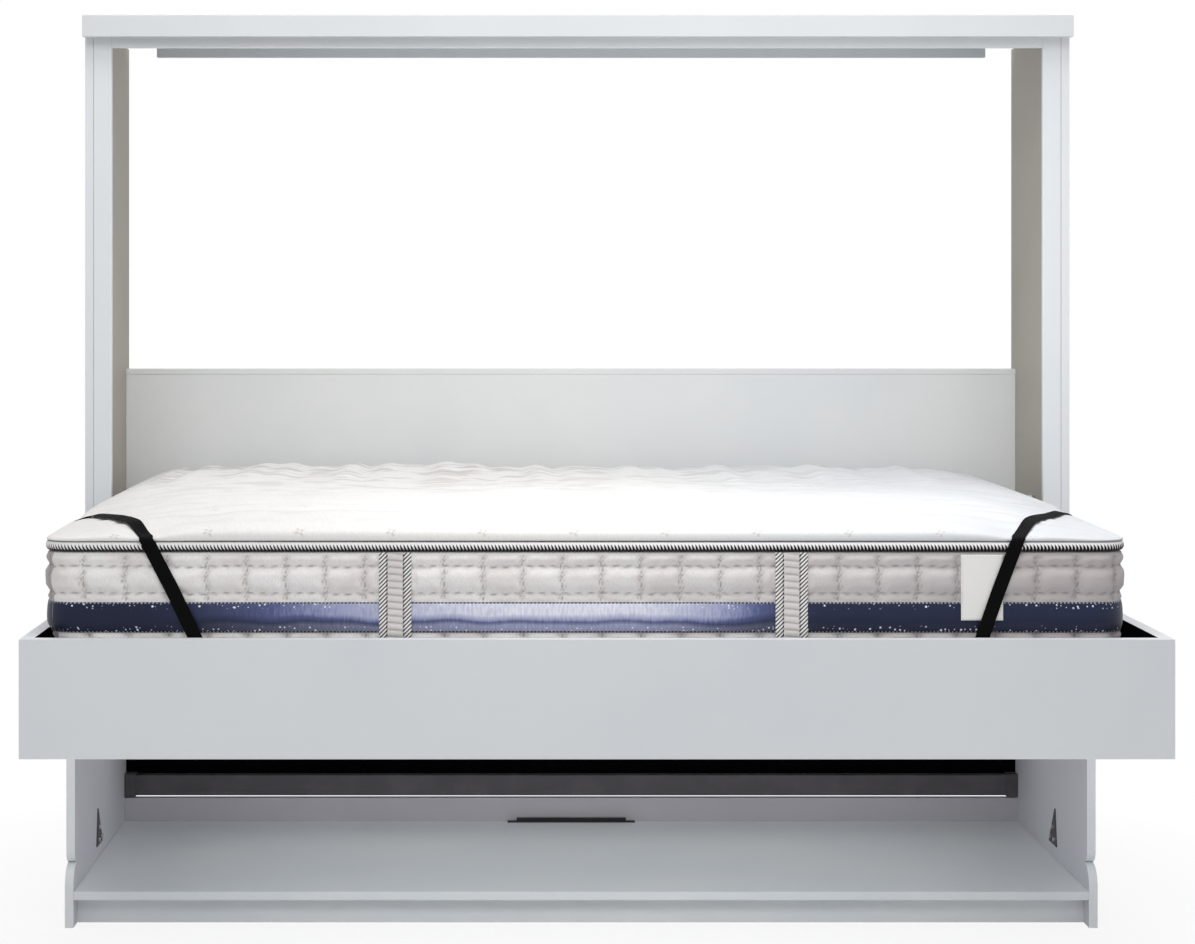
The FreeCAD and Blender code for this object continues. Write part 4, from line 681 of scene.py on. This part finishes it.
def quilted_border(rim):
    """The border and the underside as rings, from the pillow's rim down: a list of their points, of
    their thread marks and of their seams."""
    run = run_round(*rim)
    rim_x, _ = outline(*rim, 0.0)
    # the handles and the label press the border flat, and it is half flat round the corners
    label_low, label_high = ((corner.x - MIDDLE.x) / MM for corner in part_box("mattress_label"))
    covers = [(place, 32.0) for place in HANDLE_PLACES]
    covers.append(((label_low + label_high) / 2, (label_high - label_low) / 2))
    covered = np.max([1 - ease(np.abs(rim_x - place) - half, 4, 12) for place, half in covers], axis=0)
    covered = np.maximum(covered, 0.5 * ease(np.abs(rim_x), HALF_X - CORNER, HALF_X - 20))
    # rings close together where the border shows, further apart where the rail hides it
    low_levels = np.concatenate([[13.9, 15.5, 18], np.arange(22, 100, 7.5)])
    levels = np.concatenate([low_levels, np.arange(101, 261, 3.0), [261.5, 263, 264.1]])
    insets, rises = np.array(BORDER).T
    rings = []
    for level in levels[::-1]:
        depth, seam = quilt_depth(run, np.full_like(run, level), covered)
        rings.append((np.interp(level, rises, insets) + depth, level, seam))
    for drawn_in, level in UNDERSIDE:
        rings.append((np.full_like(run, drawn_in), level, 0 * run))
    points = [level_ring(rim, drawn_in, level) for drawn_in, level, _ in rings]
    marks = [level_marks(run, level) for _, level, _ in rings]
    return points, marks, [seam for _, _, seam in rings]


def make_mattress():
    """The cover: quilted border, pillow top and underside as one closed shell."""
    top, top_marks, top_seam, numbers = pillow_top()
    faces = np.array(sheet_faces(*numbers.shape))[:, [0, 3, 2, 1]].tolist()
    top_count = len(faces)
    # the border has three steps to each of the pillow's
    finer = 3
    rim = rim_places(finer, [count - 1 for count in numbers.shape])
    points, marks, seams = quilted_border(rim)
    start, count = len(top), len(rim[0])
    around = np.array(sheet_faces(len(points), count, closed=True)) + start
    faces += around[:, ::-1].tolist()
    edge = np.concatenate([numbers[:-1, 0], numbers[-1, :-1], numbers[:0:-1, -1], numbers[0, :0:-1]])
    for k, (here, there) in enumerate(zip(edge, np.roll(edge, -1))):
        fine = [start + (finer * k + step) % count for step in range(finer + 1)]
        faces.append([here, *fine, there])
    bottom = start + (len(points) - 1) * count
    faces.append(list(range(bottom + count - 1, bottom - 1, -1)))
    places = on_mattress(np.concatenate([top, *points]))
    cover = surface_piece("mattress_quilted_cover", places, faces, FINISHES["quilted_knit"])
    cover.data.materials.append(TOP_KNIT)
    material_of = np.zeros(len(cover.data.polygons), np.int32)
    material_of[:top_count] = 1
    cover.data.polygons.foreach_set("material_index", material_of)
    mark(cover, "thread", np.concatenate([top_marks, *marks]))
    mark(cover, "seam", np.concatenate([top_seam, *seams]))
    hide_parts("mattress_cover")


def make_band():
    """Satin band round the border, sewn along both edges and slightly full between them."""
    rim = rim_places(2)
    run = run_round(*rim)
    levels = np.linspace(BAND_LOW - 1, BAND_HIGH + 1, 15)
    middle = (BAND_LOW + BAND_HIGH) / 2
    ripple = np.sin(run / 23.0) + np.sin(run / 37.0 + 1) + np.sin(run / 9.0) * 0.4
    rows, marks = [], []
    for level in levels:
        share = 1 - abs(level - middle) / (levels[-1] - middle)
        full = math.sin(share * math.pi / 2) ** 0.7
        rows.append(level_ring(rim, 4.4 - 2.9 * full - 0.25 * ripple * full, level))
        marks.append(level_marks(run, level - middle))
    faces = sheet_faces(len(levels), len(run), closed=True)
    thicken(joined_piece("mattress_satin_band", [(rows, marks, faces)], SATIN), 1.2, -1)


def twisted_cord(inset, level, tall, finer):
    """A closed cord of three strands round the mattress, one bead deep and taller by a share. Its
    first row lies inside the mattress, hidden."""
    rim = rim_places(finer)
    run = run_round(*rim)
    strands, sides = 3, 16
    turns = round(GIRTH / (strands * STRAND_PITCH)) * strands
    lay = (run - run[0]) / GIRTH * turns * TURN
    rows, marks = [], []
    for step in np.linspace(math.pi, math.pi + TURN, sides, endpoint=False):
        phase = strands * step + lay
        bump = BEAD * (0.90 + 0.13 * np.abs(np.cos(phase / 2)))
        rise = level + bump * tall * math.sin(step)
        rows.append(level_ring(rim, inset - bump * math.cos(step), rise))
        marks.append(np.stack([run * MM, np.full_like(run, step), phase / TURN], -1))
    return rows, marks, sheet_faces(sides, len(run), tube=True)


def make_piping():
    """Twisted black and white piping over both seams, the upper one pressed tall by the pillow."""
    cords = [(LOW_SEAM, 1.0, 4), (SEAM + 3.6, 1.4, 8)]
    parts = [twisted_cord(BEAD - 0.5, *cord) for cord in cords]
    piping = joined_piece("mattress_twisted_piping", parts, FINISHES["twisted_cord"])
    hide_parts("mattress_piping")


def tape(middle, width, low, high, facing, stand_off, shape, step=2.0, columns=13):
    """A sewn tape up the mattress's border: rows of points from one side to the other, closed
    round its back, 0.35 mm off the border. Its face stands off by a shape of the place across and
    the rise."""
    levels = np.linspace(low, high, int((high - low) / step) + 1)
    across = np.linspace(-width / 2, width / 2, columns)
    rise, beside = np.meshgrid(levels, across, indexing="ij")
    front = stand_off + shape(beside, rise)
    back = np.full_like(front, 0.35)
    depth = np.concatenate([front, back[:, ::-1]], axis=1)
    x = np.concatenate([beside, beside[:, ::-1]], axis=1) + middle
    z = np.concatenate([rise, rise[:, ::-1]], axis=1)
    y = facing * (HALF_Y + depth)
    marks = np.stack([z, x - middle, (z - x + middle) / BRAID_PITCH], -1)
    marks[..., :2] *= MM
    return np.stack([x, y, z], -1), marks, closed_band(len(levels), 2 * columns)


# the parts of a handle strap: how wide they are and how far beside its middle they lie
BRAID_WIDTH, BRAID_BESIDE = 14.0, 23.4
CORD_WIDTH, CORD_BESIDE = 1.9, 15.3
QUILT_WIDTH = 28.6


def puckers(beside, rise):
    """The folds across a handle's middle, 13 mm each: 0 at a stitch and 1 between two."""
    return np.abs(np.sin(math.pi * (rise + 0.1 * beside) / 13.0))


def make_handles():
    """Four handle straps: a quilted middle, a dark cord on each side of it, and braided edges."""
    low, high = LOW_SEAM + BEAD + 1, SEAM - BEAD - 1
    braids, middles, cords = [], [], []

    def dome(beside, half):
        return np.sqrt(np.clip(1 - (beside / half) ** 2, 0, 1))

    def braid(beside, rise):
        strands = np.abs(np.cos(math.pi * (rise - beside) / BRAID_PITCH))
        return 1.3 * dome(beside, BRAID_WIDTH / 2) + 0.9 * strands * dome(beside, BRAID_WIDTH / 2)

    def quilt(beside, rise):
        return 2.2 * dome(beside, QUILT_WIDTH / 2) * (0.5 + 0.5 * puckers(beside, rise))

    def round_cord(beside, rise):
        return 0.9 * dome(beside, 1.1) + 0 * rise

    for middle in HANDLE_PLACES:
        for facing in (-1, 1):
            for side in (-1, 1):
                edge, seam = middle + side * BRAID_BESIDE, middle + side * CORD_BESIDE
                braids.append(tape(edge, BRAID_WIDTH, low, high, facing, 0.4, braid, step=1.15))
                cords.append(tape(seam, CORD_WIDTH, low, high, facing, 0.5, round_cord, 3.0, 7))
            middles.append(tape(middle, QUILT_WIDTH, low, high, facing, 0.35, quilt))
    handles = joined_piece("mattress_handle_braids", braids, FINISHES["braid"])
    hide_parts("mattress_handles")
    filling = joined_piece("mattress_handle_middles", middles, FINISHES["quilted_knit"])
    rise, beside, _ = np.concatenate([each[1].reshape(-1, 3) for each in middles]).T / MM
    # painted shade in the folds at the puckers' stitches, through the knit's seam mark
    mark(filling, "seam", 0.9 * np.exp(-((puckers(beside, rise) / 0.35) ** 2)))
    joined_piece("mattress_handle_cords", cords, EDGE_CORD)


def make_label():
    """A plain woven label, sewn in under the piping, its lower part a little away from the border."""
    low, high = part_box("mattress_label")
    columns, rows = 33, 49
    u, v = np.meshgrid(np.linspace(0, 1, columns), np.linspace(0, 1, rows))
    x = low.x + (high.x - low.x) * u
    z = high.z - (high.z - low.z) * v
    lift = 0.0002 + 0.0009 * ease(v, 0.1, 1) + 0.0004 * np.sin(u * 5 + 1) * ease(v, 0.1, 0.6)
    y = MIDDLE.y - HALF_Y * MM - 0.0004 - lift
    points = np.stack([x, y, z], -1).reshape(-1, 3)
    faces = sheet_faces(rows, columns)
    label = surface_piece("mattress_sewn_label", points, faces, FINISHES["label_cloth"])
    mark(label, "thread", np.stack([x, z, 0 * x], -1).reshape(-1, 3))
    # stitches 5 mm long on a line 3 mm in from the edge
    wide, tall = (high.x - low.x) / MM, (high.z - low.z) / MM
    from_edge = np.min([u * wide, (1 - u) * wide, v * tall, (1 - v) * tall], axis=0)
    dash = 0.5 + 0.5 * np.sin((x + z) / MM * TURN / 5)
    mark(label, "seam", (np.exp(-(((from_edge - 3) / 0.9) ** 2)) * (dash > 0.35)).ravel())
    thicken(label, 0.4, 1)
    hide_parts("mattress_label")


# ---- Corner straps
STRAP_WIDTH, STRAP_THICK, STRAP_LIFT = 26.0, 2.0, 3.2  # the last: how far off the mattress it lies
END_SLANT = 0.7  # run along the mattress's end to each mm of rise
# its lower end: how high its plate sits on the rail, how thick the plate is, and the gap to it
ANCHOR_RISE, ANCHOR_THICK, CLOTH_GAP = 45.0, 3.0, 0.3
STRAP_LEAD = 80.0  # how far above the rail the strap first touches the mattress
# how far in from the edge the strap is, and the share of the pillow's height that it has climbed
SHOULDER = [(0.5, 0.32), (4, 0.42), (12, 0.50), (26, 0.58), (50, 0.68), (110, 0.84), (260, 1)]
# the webbing's cut end, its edges rounded off, in halves of its width and of its thickness
HALF_SECTION = [(-1, 0), (-0.96, -0.75), (-0.85, -1), (-0.45, -1), (0, -1), (0.45, -1), (0.85, -1),
                (0.96, -0.75)]
STRAP_SECTION = HALF_SECTION + [(-a, -b) for a, b in HALF_SECTION]


def shoulder_rise(inset):
    """Rise of the pillow's top above the slats, this far in from its edge, in mm."""
    insets, shares = np.array(SHOULDER).T
    return SEAM + CROWN * float(np.interp(inset, insets, shares))


def up_one_face(reach, other_reach, slope, gap, rail_rise):
    """Strap places from the rail up one face and over its edge. X counts in from the face, Y along
    the edge from the mattress's corner. Each has its middle, width direction and outward one."""
    lean = np.array([slope, 1, 0]) / math.hypot(slope, 1)
    lie = STRAP_THICK / 2 + STRAP_LIFT
    seat = STRAP_THICK / 2 + ANCHOR_THICK + CLOTH_GAP - gap
    crest = reach * other_reach / (reach + other_reach)
    over_edge = np.array([(inset, shoulder_rise(inset)) for inset, _ in SHOULDER if inset < crest])
    start = over_edge[0][1]
    slope_on_top = reach / other_reach
    rows = []
    halfway = (ANCHOR_RISE + rail_rise) / 2
    for inward, rise in ((seat, ANCHOR_RISE), (seat, halfway), (-lie, rail_rise + STRAP_LEAD)):
        middle = (inward, reach + (start - rise) * slope, rise)
        rows.append((middle, (0, lean[1], lean[0]), (-1, 0, 0)))
    last = len(over_edge) - 1
    for index, (inset, rise) in enumerate(over_edge):
        before, after = over_edge[max(index - 1, 0)], over_edge[min(index + 1, last)]
        inward = (after - before) / np.hypot(*(after - before)) if index else np.array([0.0, 1.0])
        out = np.array([-inward[1], 0, inward[0]])
        middle = np.array([inset, reach - inset * slope_on_top, rise]) + out * lie
        turn = slope + (slope_on_top - slope) * index / last
        turn_x, turn_y = np.array([turn, 1]) / math.hypot(turn, 1)
        wide = np.array([inward[0] * turn_x, turn_y, inward[1] * turn_x])
        rows.append((middle, wide, out))
    return [tuple(np.array(part, float) for part in row) for row in rows]


def smooth_line(rows, places, finer):
    """Rows between the given ones on a smooth line, timed by the places that they belong to."""
    rows, places = np.asarray(rows, float), np.asarray(places, float)
    count = len(rows)
    steps = np.linalg.norm(np.diff(places, axis=0), axis=1) ** 0.5
    steps = np.concatenate([steps[:1], steps, steps[-1:]])
    padded_rows = np.vstack([2 * rows[0] - rows[1], rows, 2 * rows[-1] - rows[-2]])
    knots = np.concatenate([[0], np.cumsum(steps)])
    found = []
    for k in range(count - 1):
        p, t = padded_rows[k : k + 4], knots[k : k + 4]
        for s in np.linspace(t[1], t[2], finer, endpoint=False):
            level = list(p)
            for reach in (1, 2):
                level = [
                    ((t[m + reach] - s) * level[m] + (s - t[m]) * level[m + 1]) / (t[m + reach] - t[m])
                    for m in range(len(level) - 1)
                ]
            found.append(((t[2] - s) * level[0] + (s - t[1]) * level[1]) / (t[2] - t[1]))
    return np.array(found + [rows[-1]])


def make_strap(name, side):
    """Webbing over one front corner of the mattress, to the rails inside the box."""
    rail_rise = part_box("front_rail")[1].z / MM - SLAT_TOP
    end_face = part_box("right_side_rail")[0].x if side > 0 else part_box("left_side_rail")[1].x
    end_gap = abs(end_face - (HIGH.x if side > 0 else LOW.x)) / MM
    front_gap = abs(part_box("front_rail")[1].y - LOW.y) / MM
    corner = np.array([side * HALF_X, -HALF_Y, 0.0])
    rows = []
    end_reach, front_reach, slant = STRAP_REACHES[name]
    end_rows = up_one_face(end_reach, front_reach, END_SLANT, end_gap, rail_rise)
    front_rows = up_one_face(front_reach, end_reach, slant, front_gap, rail_rise)
    crest = end_reach * front_reach / (end_reach + front_reach)
    for parts in end_rows:
        rows.append([np.array([-side * v[0], v[1], v[2]]) for v in parts])
    above = shoulder_rise(crest) + STRAP_THICK / 2 + STRAP_LIFT
    rows.append([np.array([-side * crest, crest, above]), rows[-1][1], np.array([0.0, 0, 1])])
    for parts in reversed(front_rows):
        rows.append([np.array([-side * v[1], v[0], v[2]]) for v in parts])
    places = [row[0] + corner for row in rows]
    parts = (places, [row[1] for row in rows], [row[2] for row in rows])
    middles, wides, outs = (smooth_line(part, places, 12) for part in parts)
    run = np.concatenate([[0], np.cumsum(np.linalg.norm(np.diff(middles, axis=0), axis=1))])
    half, thick = STRAP_WIDTH / 2, STRAP_THICK / 2
    points, marks = [], []
    for middle, wide, out, length in zip(middles, wides, outs, run):
        wide = wide / np.linalg.norm(wide)
        out = out - wide * out.dot(wide)
        out = out / np.linalg.norm(out)
        for a, b in STRAP_SECTION:
            points.append(middle + wide * half * a + out * thick * b)
            marks.append((length * MM, half * a * MM, 0))
    faces = closed_band(len(middles), len(STRAP_SECTION))
    strap = joined_piece(name + "_webbing", [(points, marks, faces)], FINISHES["black_webbing"])
    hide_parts(name)


def make_bristles():
    """Nylon bristles of the cable opening, from both long sides to the middle. Each is a wedge of
    three sides, thicker at its root, its tip a little out of line."""
    low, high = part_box("grommet_brush")
    middle = (low.y + high.y) / 2
    points, faces = [], []
    spacing, root_half, tip_half = 0.0009, 0.00038, 0.00022
    wedge = [(0, 1, 4, 3), (1, 2, 5, 4), (2, 0, 3, 5), (2, 1, 0), (3, 4, 5)]
    for k in range(int((high.x - low.x) / spacing) - 1):
        x = low.x + (k + 0.8) * spacing
        for root, sign in ((low.y, 1), (high.y, -1)):
            lean, drop = chance.normal(0, 0.0006), abs(chance.normal(0, 0.0006))
            tip = middle + sign * chance.uniform(-0.0006, 0.0002)
            start = len(points)
            level = high.z - 0.0012
            ends = (x, root, level, root_half), (x + lean, tip, level - drop, tip_half)
            for spot, y, z, half in ends:
                points += [(spot - half, y, z), (spot + half, y, z), (spot, y, z + 2 * half)]
            faces += [tuple(start + n for n in face) for face in wedge]
    brush = surface_piece("grommet_bristles", points, faces, FINISHES["black_bristle"], "cabinet")
    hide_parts("grommet_brush")


make_mattress()
make_band()
make_piping()
make_handles()
make_label()
make_strap("right_strap", 1)
make_strap("left_strap", -1)
make_bristles()

# ---- Finishes on the boards and the hardware
OWN_FINISH = {
    "slat_ledges": PINE_ALONG_DEPTH,
    "bed_bearers": PINE_ALONG_DEPTH,
    # painted shade: darker copies of the white laminate for the fascia, the stretcher under the top and
    # the base's rear board
    "top_fascia": laminate("dull_white_laminate", "DDE0E1", "D9DDDE", 0.45),
    "top_stretcher": laminate("mid_grey_laminate", "D1D7DB", "CDD3D8", 0.45),
    "base_rear_board": laminate("dim_grey_laminate", "BFBCC2", "BBB8BE", 0.45),
}
EDGE_ROUNDING, STILE_ROUNDING = 1.4, 2.2  # radius of the sanded edges, in mm
NODE_SLOT = {part["node"]: part["material_slot"] for part in frame["record"]["subparts"]}
# boards whose face that looks into the bed takes another finish, painted shade: which way it looks
# along X
INNER_FACES = {
    "left_side_panel": (1, INNER_FACE),
    "right_side_panel": (-1, INNER_FACE),
    "left_base_cheek": (1, INNER_FACE),
    "right_base_cheek": (-1, INNER_FACE),
    "left_side_rail": (1, RAIL_INSIDE_PAINTED_SHADOW),
    "right_side_rail": (-1, RAIL_INSIDE_PAINTED_SHADOW),
}
for name, node in frame["nodes"].items():
    finish = OWN_FINISH.get(name) or FINISHES[NODE_SLOT[name]]
    node.data.materials.clear()
    node.data.materials.append(finish)
    inward, inside = INNER_FACES.get(name, (0, None))
    if inside:
        node.data.materials.append(inside)
    for polygon in node.data.polygons:
        polygon.material_index = int(polygon.normal.x * inward > 0.9)
    if "laminate" in NODE_SLOT[name]:
        joined = node.modifiers.new("one skin", "WELD")
        joined.merge_threshold = 0.00001
        rounded = node.modifiers.new("sanded edges", "BEVEL")
        rounded.width = (STILE_ROUNDING if "stile" in name else EDGE_ROUNDING) * MM
        rounded.segments = 2
        rounded.limit_method = "ANGLE"
        rounded.angle_limit = math.radians(40)


# ---- Floor, light and world
def plain_white(tree, surface, share=1.0):
    """Ends a tree in plain white for what the camera, mirrors and glass see, by a share."""
    seen = add(tree, "LightPath", out="Is Camera Ray")
    for ray in ("Is Glossy Ray", "Is Transmission Ray"):
        seen = add(tree, "Math", [seen, add(tree, "LightPath", out=ray)], operation="MAXIMUM")
    part = add(tree, "Math", [seen, share], operation="MULTIPLY")
    white = add(tree, "Emission", [colour("FFFFFF"), 1.0])
    return add(tree, "MixShader", [part, surface, white])


def pale_ground():
    """A white studio floor that keeps the object's shadow near it and is plain white further off."""
    material, tree = new_material("white_studio_floor")
    matt = add(tree, "BsdfDiffuse", [colour("FAFAFA")])
    place = add(tree, "TexCoord", out="Object")
    length = add(tree, "VectorMath", [place], "Value", operation="LENGTH")
    far = add(tree, "MapRange", [length, 1.1, 2.0, 0.85, 1.0])
    add(tree, "OutputMaterial", [plain_white(tree, matt, far)])
    return material


floor_mesh = bpy.data.meshes.new("floor")
floor_mesh.from_pydata([(-14, -14, 0), (14, -14, 0), (14, 14, 0), (-14, 14, 0)], [], [(0, 1, 2, 3)])
floor_mesh.materials.append(pale_ground())
floor = bpy.data.objects.new("floor", floor_mesh)
bpy.context.scene.collection.objects.link(floor)

world = bpy.data.worlds.new("white_studio")
bpy.context.scene.world = world
world.use_nodes = True
world.node_tree.nodes.clear()
ambient = add(world.node_tree, "Background", [colour("FBFCFF"), 0.42])
add(world.node_tree, "OutputWorld", [plain_white(world.node_tree, ambient)])


def softbox(name, spot, aim, size, watts):
    """A lamp behind a white cloth of this size, in metres, looking from its spot to its aim."""
    lamp = bpy.data.lights.new(name, "AREA")
    lamp.shape = "RECTANGLE"
    lamp.size, lamp.size_y = size
    lamp.energy = watts
    holder = bpy.data.objects.new(name, lamp)
    bpy.context.scene.collection.objects.link(holder)
    holder.location = spot
    holder.rotation_euler = (Vector(aim) - Vector(spot)).to_track_quat("-Z", "Y").to_euler()


# high in front, for the boards and the mattress's front; above, for its white top; in front of the
# headboard; low in front and inside, for the shelf
softbox("key_softbox", (-0.5, -3.2, 3.7), (0, 0.1, 1.2), (3.0, 1.6), 40)
softbox("top_softbox", (0.0, -0.9, 4.2), (0, -0.3, 0.9), (2.6, 1.6), 44)
softbox("headboard_softbox", (0.5, -0.9, 1.5), (0.42, 0.5, 1.02), (1.6, 0.4), 4.3)
softbox("low_softbox", (0.0, -0.55, 0.50), (0, 0.5, 0.1), (1.9, 0.25), 3.6)
softbox("shelf_softbox", (0.0, 0.50, 0.49), (0, 0.12, 0.0), (1.9, 0.3), 1.8)

bpy.context.scene.view_settings.view_transform = "Standard"
